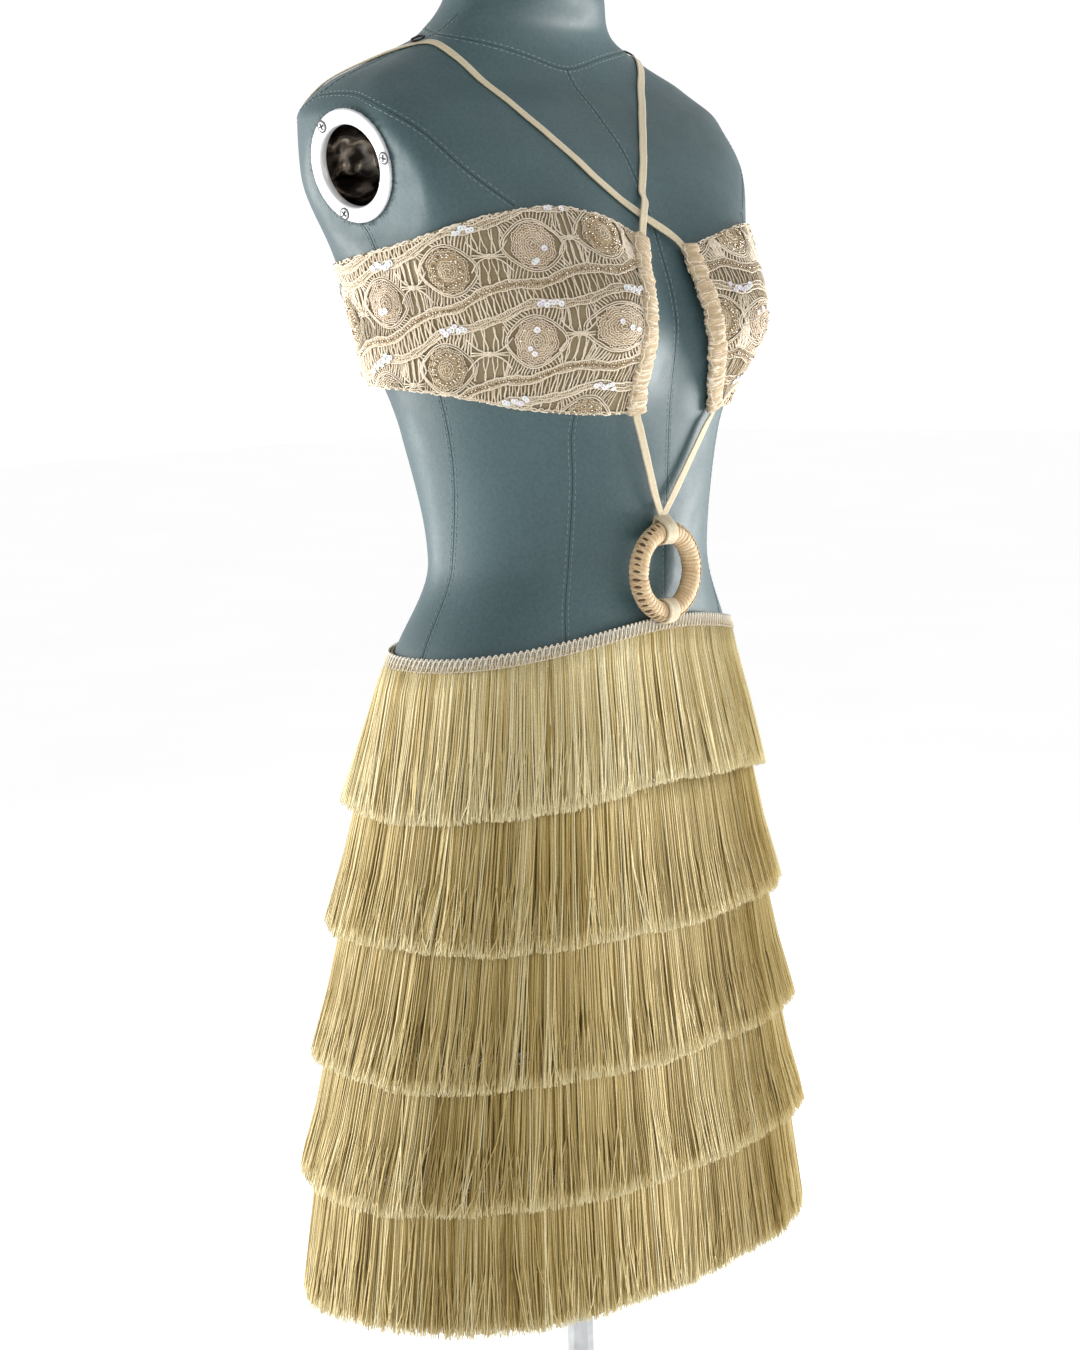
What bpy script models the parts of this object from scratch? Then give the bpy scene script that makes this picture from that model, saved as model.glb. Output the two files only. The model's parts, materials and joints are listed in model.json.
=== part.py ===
# Crochet and fringe mini dress on a limbless dress form.
# Units are metres and +Z is up. The wearer faces -Y, and the wearer's left is +X.
# The origin is on the floor, under the middle of the round stand base.
import math

import bpy
import numpy as np
from mathutils import Matrix, Vector
from mathutils.bvhtree import BVHTree
from mathutils.geometry import delaunay_2d_cdt

for old in list(bpy.data.objects):
    bpy.data.objects.remove(old, do_unlink=True)

# Driving sizes. Heights called "rise" are measured from the form's waist.
WAIST_Z = 1.04
SEAM_GAP = 0.0003
CLOTH_GAP = 0.0010
NECK_TOP = 0.500
# The form, the skirt and the fringe share their columns, so that their facets match.
COLUMNS = 40
BASE_RADIUS = 0.190
BASE_THICK = 0.010
POLE_RADIUS = 0.015

# The dress form's level sections: rise, half width, depth to the front and to the back
# of the section's centre, the superellipse's power (2 is an ellipse), and the centre's y.
FORM = [
    (-0.300, 0.163, 0.098, 0.105, 2.3, 0.000),
    (-0.200, 0.170, 0.108, 0.122, 2.3, 0.000),
    (-0.080, 0.154, 0.116, 0.091, 2.3, 0.000),
    (0.000, 0.121, 0.119, 0.063, 2.2, 0.000),
    (0.100, 0.136, 0.126, 0.083, 2.2, 0.000),
    (0.170, 0.153, 0.127, 0.111, 2.3, 0.000),
    (0.240, 0.174, 0.116, 0.117, 2.8, 0.000),
    (0.300, 0.190, 0.095, 0.122, 3.4, 0.002),
    (0.340, 0.1885, 0.067, 0.118, 3.5, 0.006),
    (0.365, 0.169, 0.049, 0.108, 2.9, 0.011),
    (0.385, 0.130, 0.041, 0.093, 2.3, 0.012),
    (0.405, 0.088, 0.037, 0.081, 2.1, 0.008),
    (0.430, 0.070, 0.046, 0.068, 2.0, 0.003),
    (0.470, 0.058, 0.048, 0.056, 2.0, 0.000),
    (0.520, 0.059, 0.058, 0.047, 2.0, 0.000),
]
FORM_RISES = [-0.300, -0.240, -0.180, -0.130, -0.100, -0.080, -0.060, -0.040, -0.020, 0.005,
              0.035, 0.070, 0.100, 0.125, 0.145, 0.162, 0.178, 0.194, 0.212, 0.232, 0.254,
              0.278, 0.300, 0.320, 0.336, 0.348, 0.358, 0.368, 0.378, 0.388, 0.398, 0.409,
              0.424, 0.455, 0.493]
# The bust: how far it stands out, its half spacing, rise, and spread across, up and down.
BUST = {"out": 0.0448, "half_gap": 0.0882, "rise": 0.1776, "across": 0.0598, "up": 0.070,
        "down": 0.050}
# The flat on each side that carries the arm plate, and the plate itself.
PLATE = {"x": 0.1825, "y": 0.0165, "rise": 0.3005, "lean": math.radians(12.0), "radius": 0.0425,
         "hole": 0.0310, "depth": 0.036, "thick": 0.0020,
         "screws": [math.radians(t) for t in (55, 175, 295)]}
PLATE_SIDES = 20

# The skirt's cloth, inside face: rise, half width, front and back of its centre, and the
# centre's y. It is straight between rows, and above them it hugs the form.
SKIRT = [
    (-0.475, 0.2200, 0.1368, 0.1468, 0.0115),
    (-0.390, 0.2070, 0.1335, 0.1425, 0.0085),
    (-0.290, 0.1900, 0.1292, 0.1368, 0.0050),
    (-0.200, 0.1745, 0.1250, 0.1280, 0.0020),
    (-0.130, 0.1650, 0.1212, 0.1100, 0.0000),
    (-0.093, 0.1584, 0.1180, 0.0970, 0.0000),
]
SKIRT_POWER = 2.3
SKIRT_WALL = 0.0015
SKIRT_TOP = {"front": -0.047, "side": -0.070, "back": -0.062}

# Fringe tiers: rise of the braid's top (the first follows the waist), length of the trim,
# and how far the locks have come away from the cloth half way down and at their tips.
TIERS = [
    (None, 0.122, 0.0032, 0.0092),
    (-0.165, 0.122, 0.0032, 0.0110),
    (-0.268, 0.122, 0.0032, 0.0110),
    (-0.363, 0.121, 0.0032, 0.0115),
    (-0.458, 0.121, 0.0030, 0.0060),
]
BRAID_TALL = 0.010
BRAID_THICK = 0.0012
LOCK_THICK = (0.0012, 0.0034, 0.0040)

# The bandeau's edges: angle from the front, rise of the lower edge, and of the upper edge
# on the right and on the left wing.
BAND = [
    (0, 0.1120, 0.2310, 0.2290),
    (12, 0.1115, 0.2395, 0.2330),
    (20, 0.1112, 0.2485, 0.2385),
    (35, 0.1118, 0.2600, 0.2475),
    (46, 0.1145, 0.2640, 0.2520),
    (56, 0.1180, 0.2615, 0.2520),
    (66, 0.1235, 0.2545, 0.2490),
    (78, 0.1300, 0.2450, 0.2430),
    (92, 0.1345, 0.2380, 0.2380),
    (112, 0.1380, 0.2320, 0.2320),
    (145, 0.1420, 0.2280, 0.2280),
    (180, 0.1440, 0.2260, 0.2260),
]
# The bandeau's edge by the opening at the front: rise and distance from the middle.
EDGE = {
    "right": [(0.112, 0.0335), (0.145, 0.0410), (0.180, 0.0470), (0.215, 0.0360), (0.242, 0.0185)],
    "left": [(0.112, 0.0450), (0.145, 0.0320), (0.180, 0.0215), (0.215, 0.0180), (0.236, 0.0185)],
}
# How far the cloth stands off the form between the bust and that edge.
EDGE_OFF = {"right": 0.0070, "left": 0.0045}
SIDE = {"right": -1.0, "left": 1.0}
LINING_WALL = 0.0012
LACE_GAP = 0.0005
LACE_WALL = 0.0012
BAND_COLUMNS = 18
BAND_ROWS = 6

# The crochet repeat: angle from the front and the rise of the medallion row there.
MEDALLION_ROW = [(0, 0.2440), (16, 0.2440), (33, 0.2430), (52, 0.2360), (72, 0.2200), (91, 0.2000),
                 (112, 0.1880), (145, 0.1850), (180, 0.1850)]
ROW_DROP = 0.0665
MEDALLION_ANGLES = {0: (14, 33, 52, 71, 91, 112, 134, 157), 1: (16, 35, 55, 76)}
MEDALLION_RADIUS = 0.0185
MEDALLION_RAISE = 0.0010

# The casings, straps, sliders, hoop and its loops.
CASING = {"half_wide": 0.0070, "half_thick": 0.0028, "hole_wide": 0.0051, "hole_thick": 0.00145}
STRAP = {"half_wide": 0.0040, "half_thick": 0.0007}
# Where each strap runs on the chest, from its casing: distance from the middle, and rise.
STRAP_CHEST = {
    "left": [(-0.004, 0.253), (-0.038, 0.273), (-0.065, 0.303), (-0.086, 0.341), (-0.103, 0.368)],
    "right": [(-0.008, 0.263), (0.016, 0.302), (0.044, 0.333), (0.077, 0.360)],
}
# Where the straps cross the shoulders: x and y.
RIDGE = {"right": (-0.1130, 0.0120), "left": (0.1160, 0.0080)}
STRAP_BACK_ANGLE = 128
HOOP = {"x": -0.0125, "y": -0.1300, "rise": -0.0108, "radius": 0.0305, "tube": 0.0075}


def curve(rows, column):
    """Smooth curve through one column of a table; it never overshoots a row."""
    x = np.array([row[0] for row in rows], float)
    y = np.array([row[column] for row in rows], float)
    h, d = np.diff(x), np.diff(y) / np.diff(x)
    m = np.zeros(len(x))
    m[0], m[-1] = d[0], d[-1]
    for i in range(1, len(x) - 1):
        if d[i - 1] * d[i] > 0:
            a, b = 2 * h[i] + h[i - 1], h[i] + 2 * h[i - 1]
            m[i] = (a + b) / (a / d[i - 1] + b / d[i])

    def at(t):
        t = min(max(t, x[0]), x[-1])
        i = min(int(np.searchsorted(x, t, side="right")) - 1, len(x) - 2)
        s = (t - x[i]) / h[i]
        return float((1 + 2 * s) * (1 - s) ** 2 * y[i] + s * (1 - s) ** 2 * h[i] * m[i]
                     + s * s * (3 - 2 * s) * y[i + 1] + s * s * (s - 1) * h[i] * m[i + 1])

    return at


FORM_CURVES = [curve(FORM, c) for c in (1, 2, 3, 4, 5)]
BAND_LOW = curve(BAND, 1)
BAND_HIGH = {"right": curve(BAND, 2), "left": curve(BAND, 3)}
EDGE_CURVES = {name: curve(EDGE[name], 1) for name in EDGE}
ROW_RISE = curve(MEDALLION_ROW, 1)


def ease(t):
    """Smooth step from 0 to 1."""
    t = min(max(t, 0.0), 1.0)
    return t * t * (3 - 2 * t)


def section(angle, half_width, front, back, power):
    """Point of a level superellipse; angle 0 is the front, 90 degrees the wearer's left."""
    s, c = math.sin(angle), math.cos(angle)
    depth = front if c > 0 else back
    r = ((abs(s) / half_width) ** power + (abs(c) / depth) ** power) ** (-1 / power)
    return r * s, -r * c


def bust_out(x, rise):
    """How far the bust stands in front of the plain section."""
    spread = BUST["up"] if rise > BUST["rise"] else BUST["down"]
    tall = math.exp(-(((rise - BUST["rise"]) / spread) ** 2))
    wide = sum(math.exp(-(((x + k * BUST["half_gap"]) / BUST["across"]) ** 2)) for k in (-1, 1))
    return BUST["out"] * tall * wide


def form_point(angle, rise, out=0.0):
    """Point of the dress form's skin, or of cloth lying a little outside it."""
    width, front, back, power, middle = (c(rise) for c in FORM_CURVES)
    x, y = section(angle, width + out, front + out, back + out, power)
    y += middle
    if math.cos(angle) > 0:
        y -= bust_out(x, rise) * math.sqrt(math.cos(angle))
    flat = PLATE["x"] + max(rise - PLATE["rise"], -1.1 * PLATE["radius"]) * math.tan(PLATE["lean"]) + out
    x = math.copysign(min(abs(x), flat), x)
    return Vector((x, y, WAIST_Z + rise))


def skirt_point(angle, rise, out=0.0):
    """Point of the skirt's inside face, moved out by a distance."""
    if rise <= SKIRT[-1][0]:
        rows = np.array(SKIRT)
        width, front, back, middle = (float(np.interp(rise, rows[:, 0], rows[:, c])) for c in (1, 2, 3, 4))
    else:
        width, front, back = (c(rise) + CLOTH_GAP for c in FORM_CURVES[:3])
        middle = 0.0
    x, y = section(angle, width + out, front + out, back + out, SKIRT_POWER)
    return Vector((x, y + middle, WAIST_Z + rise))


def skirt_top(angle):
    """Rise of the waist edge, lowest over the hips."""
    c = math.cos(angle)
    end = SKIRT_TOP["front"] if c > 0 else SKIRT_TOP["back"]
    return SKIRT_TOP["side"] + (end - SKIRT_TOP["side"]) * c * c


def material(name, hexa, rough, metal=0.0):
    """Plain material from an sRGB colour."""
    mat = bpy.data.materials.new(name)
    mat.use_nodes = True
    shader = mat.node_tree.nodes["Principled BSDF"]
    raw = [int(hexa[i:i + 2], 16) / 255 for i in (0, 2, 4)]
    rgb = [v / 12.92 if v <= 0.04045 else ((v + 0.055) / 1.055) ** 2.4 for v in raw]
    shader.inputs["Base Color"].default_value = (*rgb, 1)
    shader.inputs["Roughness"].default_value = rough
    shader.inputs["Metallic"].default_value = metal
    return mat


PART = bpy.data.collections.new("crochet_fringe_mini_dress")
CUTTERS = bpy.data.collections.new("cutters")
for made in (PART, CUTTERS):
    bpy.context.scene.collection.children.link(made)


def add(name, points, faces, mat):
    """Make a named object from points and faces."""
    mesh = bpy.data.meshes.new(name)
    mesh.from_pydata([tuple(p) for p in points], [], [tuple(f) for f in faces])
    mesh.validate()
    mesh.update()
    mesh.materials.append(mat)
    obj = bpy.data.objects.new(name, mesh)
    PART.objects.link(obj)
    return obj


def add_shell(name, grid, wall, mat, outside, split=False):
    """Cloth from a grid of points on its outer face: an open surface, thickened inwards."""
    rows, columns = len(grid), len(grid[0])
    faces = []
    for r in range(rows - 1):
        for c in range(columns - 1):
            a, b = r * columns + c, (r + 1) * columns + c
            quad = (a, a + 1, b + 1, b)
            faces += [quad[:3], (a, b + 1, b)] if split else [quad]
    points = [p for row in grid for p in row]
    a, b, c = (points[k] for k in faces[0][:3])
    if (b - a).cross(c - b).dot(outside) < 0:
        faces = [tuple(reversed(face)) for face in faces]
    obj = add(name, points, faces, mat)
    thicken = obj.modifiers.new("wall", "SOLIDIFY")
    thicken.thickness, thicken.offset = wall, -1.0
    return obj


def outward(points, faces):
    """Faces turned so that the closed body's volume is positive."""
    volume = 0.0
    for face in faces:
        a = Vector(points[face[0]])
        for i in range(1, len(face) - 1):
            volume += a.dot(Vector(points[face[i]]).cross(Vector(points[face[i + 1]])))
    return faces if volume > 0 else [tuple(reversed(face)) for face in faces]


def add_closed(name, points, faces, mat):
    """Make a closed body with its faces turned outwards."""
    return add(name, points, outward(points, faces), mat)


def stack(rings):
    """Closed body from rings of equal length, one above another, with flat ends."""
    n = len(rings[0])
    points = [p for ring in rings for p in ring]
    faces = []
    for r in range(len(rings) - 1):
        for c in range(n):
            d = (c + 1) % n
            faces.append((r * n + c, r * n + d, (r + 1) * n + d, (r + 1) * n + c))
    faces.append(tuple(reversed(range(n))))
    faces.append(tuple(range((len(rings) - 1) * n, len(rings) * n)))
    return points, faces


def tube_mesh(rings, holes):
    """Closed tube wall between outer and inner rings carried along a path."""
    n, last = len(rings[0]), len(rings) - 1
    points = [p for ring in rings for p in ring] + [p for ring in holes for p in ring]
    shift = n * len(rings)
    faces = []
    for c in range(n):
        d = (c + 1) % n
        for r in range(last):
            quad = (r * n + c, r * n + d, (r + 1) * n + d, (r + 1) * n + c)
            faces += [quad, tuple(shift + k for k in reversed(quad))]
        faces.append((d, c, shift + c, shift + d))
        faces.append((last * n + c, last * n + d, shift + last * n + d, shift + last * n + c))
    return points, faces


def settle(obj, name, mat, place, axis, collection=PART):
    """Name a primitive, place it with its local +Z along an axis, and give it its material."""
    obj.name = obj.data.name = name
    obj.location = place
    obj.rotation_euler = axis.to_track_quat("Z", "Y").to_euler()
    obj.data.materials.append(mat)
    obj.data.shade_smooth()
    obj.data.set_sharp_from_angle(angle=math.radians(40))
    for old in list(obj.users_collection):
        old.objects.unlink(obj)
    collection.objects.link(obj)
    return obj


def turned(name, profile, sides, mat, place, axis):
    """Turned body from pairs of radius and height, which run down its outer side."""
    mesh = bpy.data.meshes.new(name)
    mesh.from_pydata([(r, 0, z) for r, z in profile], [(k, k + 1) for k in range(len(profile) - 1)], [])
    obj = bpy.data.objects.new(name, mesh)
    settle(obj, name, mat, place, axis)
    spin = obj.modifiers.new("turn", "SCREW")
    spin.steps = spin.render_steps = sides
    spin.use_merge_vertices, spin.merge_threshold = True, 0.00001
    return obj


UP = Vector((0, 0, 1))
skin = material("form_skin", "5E7478", 0.5)
steel = material("plate_steel", "D9D9D6", 0.25, 1.0)
dark_metal = material("dark_metal", "4A4A48", 0.3, 1.0)
stand_metal = material("stand_metal", "B9BBBC", 0.35, 1.0)
skirt_cloth = material("skirt_cloth", "D8C9A4", 0.9)
fringe_yarn = material("fringe_yarn", "DACB9A", 0.7)
lining_cloth = material("lining_cloth", "B9A48C", 0.9)
lace_yarn = material("lace_yarn", "DCCBAA", 0.85)
strap_cloth = material("strap_cloth", "D8C8A8", 0.7)
hoop_wrap = material("hoop_wrap", "D9BD93", 0.6)

# The dress form: one smooth closed skin.
ANGLES = [2 * math.pi * k / COLUMNS for k in range(COLUMNS)]
form_rings = [[form_point(a, rise) for a in ANGLES] for rise in FORM_RISES]
neck_middle = Vector((0, sum(p.y for p in form_rings[-1]) / COLUMNS, WAIST_Z + NECK_TOP))
form_rings.append([neck_middle + (Vector((p.x, p.y, 0)) - Vector((0, neck_middle.y, 0))) * 0.90
                   for p in form_rings[-1]])
form_points, form_faces = stack(form_rings)
form_faces = outward(form_points, form_faces)
form = add("form_body", form_points, form_faces, skin)
FORM_TREE = BVHTree.FromPolygons(form_points, form_faces)

# The arm plates: a flat ring with a deep cup, let into the flat on each side.
for name, sign in (("right", -1), ("left", 1)):
    axis = Vector((sign * math.cos(PLATE["lean"]), 0, -math.sin(PLATE["lean"])))
    seat = Vector((sign * PLATE["x"], PLATE["y"], WAIST_Z + PLATE["rise"]))
    hole, thick, depth = PLATE["hole"], PLATE["thick"], PLATE["depth"]
    bpy.ops.mesh.primitive_cylinder_add(vertices=PLATE_SIDES, radius=hole + 0.003, depth=depth + 0.015)
    cutter = settle(bpy.context.object, "cutter_arm_" + name, skin, seat - axis * (0.5 * depth - 0.0025),
                    axis, CUTTERS)
    cutter.hide_render = True
    cutter.display_type = "WIRE"
    cut = form.modifiers.new("arm_" + name, "BOOLEAN")
    cut.operation, cut.solver, cut.object = "DIFFERENCE", "EXACT", cutter
    seat = seat + axis * 0.0004
    profile = [(0.0, -depth), (hole * 0.45, -depth), (hole * 0.90, -0.6 * depth), (hole, thick - 0.0014),
               (hole + 0.0016, thick), (PLATE["radius"] - 0.0008, thick), (PLATE["radius"], 0.0),
               (hole + 0.0016, 0.0), (hole * 0.95, -0.6 * depth - 0.0006), (hole * 0.45, -depth - 0.0015),
               (0.0, -depth - 0.0015)]
    turned("arm_plate_" + name, profile, PLATE_SIDES, steel, seat, axis)
    across = UP.cross(axis).normalized()
    upright = axis.cross(across)
    for k, turn in enumerate(PLATE["screws"]):
        spoke = across * (sign * math.cos(turn)) + upright * math.sin(turn)
        bpy.ops.mesh.primitive_cone_add(vertices=10, radius1=0.0038, radius2=0.0030, depth=0.0012)
        settle(bpy.context.object, "plate_screw_%s_%d" % (name, k + 1), steel,
               seat + axis * (thick + SEAM_GAP + 0.0006) + spoke * 0.0378, axis)

# The stand: a round base and a pole up to the form's underside.
bpy.ops.mesh.primitive_cone_add(vertices=40, radius1=BASE_RADIUS, radius2=BASE_RADIUS - 0.002,
                                depth=BASE_THICK)
settle(bpy.context.object, "stand_base", stand_metal, Vector((0, 0, BASE_THICK / 2)), UP)
pole_top = WAIST_Z + FORM_RISES[0] - SEAM_GAP
turned("stand_pole", [(0.0, pole_top), (0.045, pole_top), (0.045, pole_top - 0.003),
                      (POLE_RADIUS, pole_top - 0.006), (POLE_RADIUS, BASE_THICK + 0.012),
                      (0.026, BASE_THICK + 0.006), (0.026, BASE_THICK + SEAM_GAP),
                      (0.0, BASE_THICK + SEAM_GAP)], 16, stand_metal, Vector((0, 0, 0)), UP)

# The skirt's front and back: plain walls under the fringe, with side seams.
for name, start in (("skirt_front", -90), ("skirt_back", 90)):
    angles = [math.radians(start + 180 * k / (COLUMNS // 2)) for k in range(COLUMNS // 2 + 1)]
    seam = SEAM_GAP / SKIRT[0][1]
    angles[0], angles[-1] = angles[0] + seam, angles[-1] - seam
    rises = [[skirt_top(a) - drop for a in angles] for drop in (0.0, BRAID_TALL + 0.0006)]
    rises += [[row[0]] * len(angles) for row in reversed(SKIRT)]
    outer = [[skirt_point(a, r, SKIRT_WALL) for a, r in zip(angles, row)] for row in rises]
    add_shell(name, outer, SKIRT_WALL, skirt_cloth, Vector((0, -1 if start < 0 else 1, 0)))

# The fringe: each tier is a narrow braid round the skirt with locks hanging from it.
rng = np.random.default_rng(11)


def tier_point(angle, rise, out):
    """Point outside the skirt's cloth; below its last row the cloth's line runs on."""
    low = SKIRT[0][0]
    if rise >= low:
        return skirt_point(angle, rise, SKIRT_WALL + out)
    a, b = skirt_point(angle, low, SKIRT_WALL + out), skirt_point(angle, low + 0.04, SKIRT_WALL + out)
    p = a + (a - b) * ((low - rise) / 0.04) * 0.55
    p.z = WAIST_Z + rise
    return p


for tier, (top, length, mid_off, tip_off) in enumerate(TIERS):
    root = 0.0008
    share = 0.86
    ring = []
    for k in range(COLUMNS):
        a = 2 * math.pi * k / COLUMNS
        b = a + 2 * math.pi * share / COLUMNS
        tops = [skirt_top(t) - 0.0006 if top is None else top for t in (a, b)]
        cell = {"top": [tier_point(a, tops[0], root + d) for d in (BRAID_THICK, 0)],
                "left": [tier_point(a, tops[0] - BRAID_TALL, root + d) for d in (BRAID_THICK, 0)],
                "right": [tier_point(b, tops[1] - BRAID_TALL, root + d) for d in (BRAID_THICK, 0)]}
        wave = 0.0016 * math.sin(5 * a + tier) + 0.0010 * math.sin(11 * a + 2 * tier)
        cut = rng.uniform(-0.003, 0.001)
        for part, off, thick, fall in (("mid", mid_off, LOCK_THICK[1], 0.48),
                                       ("tip", tip_off, LOCK_THICK[2], 1.0)):
            extra = max(0.0, wave + 0.0005) * fall
            low_a, low_b = tops[0] - length * fall - cut * fall, tops[1] - length * fall - cut * fall
            cell[part] = [tier_point(t, low, off + extra + d)
                          for t, low in ((a + 0.004, low_a), (b - 0.004, low_b)) for d in (thick, 0)]
        ring.append(cell)
    points, faces = [], []
    for cell in ring:
        points += cell["top"] + cell["left"] + cell["right"] + cell["mid"] + cell["tip"]
    size = 14
    for k in range(COLUMNS):
        p, q = k * size, ((k + 1) % COLUMNS) * size
        faces.append((p, p + 2, p + 4, q + 2, q))
        faces.append((p + 1, q + 1, q + 3, p + 5, p + 3))
        faces.append((p, q, q + 1, p + 1))
        faces.append((p + 4, p + 5, q + 3, q + 2))
        above = (p + 2, p + 3, p + 5, p + 4)
        for row in (p + 6, p + 10):
            below = (row, row + 1, row + 3, row + 2)
            for i in range(4):
                j = (i + 1) % 4
                faces.append((above[i], above[j], below[j], below[i]))
            above = below
        faces.append(above)
    add_closed("fringe_tier_%d" % (tier + 1), points, faces, fringe_yarn)

# The bandeau: a lining and a crochet layer for each wing, meeting at the back seam.


def cup_point(side, angle, rise, out=0.0):
    """Point of a wing's inside face; angle is counted from the front to the back seam."""
    sign = SIDE[side]
    p = form_point(sign * angle, rise, CLOTH_GAP)
    ahead = max(0.0, (BUST["half_gap"] - abs(p.x)) / 0.060) if math.cos(angle) > 0 else 0.0
    p.y -= EDGE_OFF[side] * min(ahead, 1.2) ** 2 * math.exp(-(((rise - 0.180) / 0.048) ** 2))
    degrees = math.degrees(angle)
    share = (rise - BAND_LOW(degrees)) / (BAND_HIGH[side](degrees) - BAND_LOW(degrees))
    away = 0.010 * ease((degrees - 45) / 45) * (1 - 0.45 * ease((degrees - 120) / 60))
    away *= max(0.0, 1 - max(share, 0.0)) ** 1.6
    n = Vector((sign * math.sin(angle), -math.cos(angle), 0))
    return p + n * (away + out)


def panel_angle(side, rise, away):
    """Angle at which a wing is a given distance from the middle of the front."""
    width, front, _, power, _ = (c(rise) for c in FORM_CURVES)
    x = EDGE_CURVES[side](rise) + away
    return math.atan2(x, front * (1 - (x / width) ** power) ** (1 / power))


def wing_grid(side, columns, rows, start):
    """Angle and rise at each row and column of a wing, from its casing to the back seam."""
    grid = []
    for r in range(rows + 1):
        line = []
        t = r / rows
        first = panel_angle(side, 0.112 + t * 0.124, start)
        last = math.pi - SEAM_GAP / 0.11
        for c in range(columns + 1):
            s = c / columns
            angle = first + (last - first) * (0.80 * s + 0.20 * s * s)
            low, high = BAND_LOW(math.degrees(angle)), BAND_HIGH[side](math.degrees(angle))
            line.append((angle, low + (high - low) * t))
        grid.append(line)
    return grid


def unit(v):
    return v.normalized() if v.length > 0 else Vector((0, -1, 0))


def grid_normals(grid, sign):
    """Outward directions at the points of a grid."""
    rows, columns = len(grid), len(grid[0])
    out = []
    for r in range(rows):
        line = []
        for c in range(columns):
            across = grid[r][min(c + 1, columns - 1)] - grid[r][max(c - 1, 0)]
            tall = grid[min(r + 1, rows - 1)][c] - grid[max(r - 1, 0)][c]
            line.append(unit(across.cross(tall)) * sign)
        out.append(line)
    return out


def between(grid, s, t):
    """Point of a grid's triangles at column s and row t, which may be fractions."""
    rows, columns = len(grid) - 1, len(grid[0]) - 1
    c, r = min(int(s), columns - 1), min(int(t), rows - 1)
    u, v = s - c, t - r
    a, b, d, e = grid[r][c], grid[r][c + 1], grid[r + 1][c + 1], grid[r + 1][c]
    return a + (b - a) * u + (d - b) * v if u >= v else a + (e - a) * v + (d - e) * u


def settled(grid, trees, gap):
    """Move a grid's points out until its facets stay a gap away from the skin."""
    steps = [k / 4 for k in range(5)]
    for _ in range(6):
        push = [[0.0] * len(grid[0]) for _ in grid]
        for r in range(len(grid) - 1):
            for c in range(len(grid[0]) - 1):
                for u in steps:
                    for v in steps:
                        p = between(grid, c + min(u, 0.999), r + min(v, 0.999))
                        spot, normal, _, _ = trees.find_nearest(p)
                        lack = gap - (p - spot).dot(normal)
                        if lack > 0:
                            for i, j in ((r, c), (r, c + 1), (r + 1, c), (r + 1, c + 1)):
                                push[i][j] = max(push[i][j], lack)
        if not any(any(row) for row in push):
            break
        for r, row in enumerate(push):
            for c, lack in enumerate(row):
                if lack > 0:
                    spot, normal, _, _ = trees.find_nearest(grid[r][c])
                    grid[r][c] = grid[r][c] + normal * (lack + 0.0001)
    return grid


def wing_place(side, degrees, rise):
    """Column and row of a wing's grid at an angle and a rise."""
    t = (rise - BAND_LOW(degrees)) / (BAND_HIGH[side](degrees) - BAND_LOW(degrees))
    first = math.degrees(panel_angle(side, 0.112 + min(max(t, 0), 1) * 0.124, PANEL_START))
    k = (degrees - first) / (180 - first)
    s = (-0.80 + math.sqrt(0.64 + 0.80 * max(k, 0.0))) / 0.40
    return s * BAND_COLUMNS, t * BAND_ROWS


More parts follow.
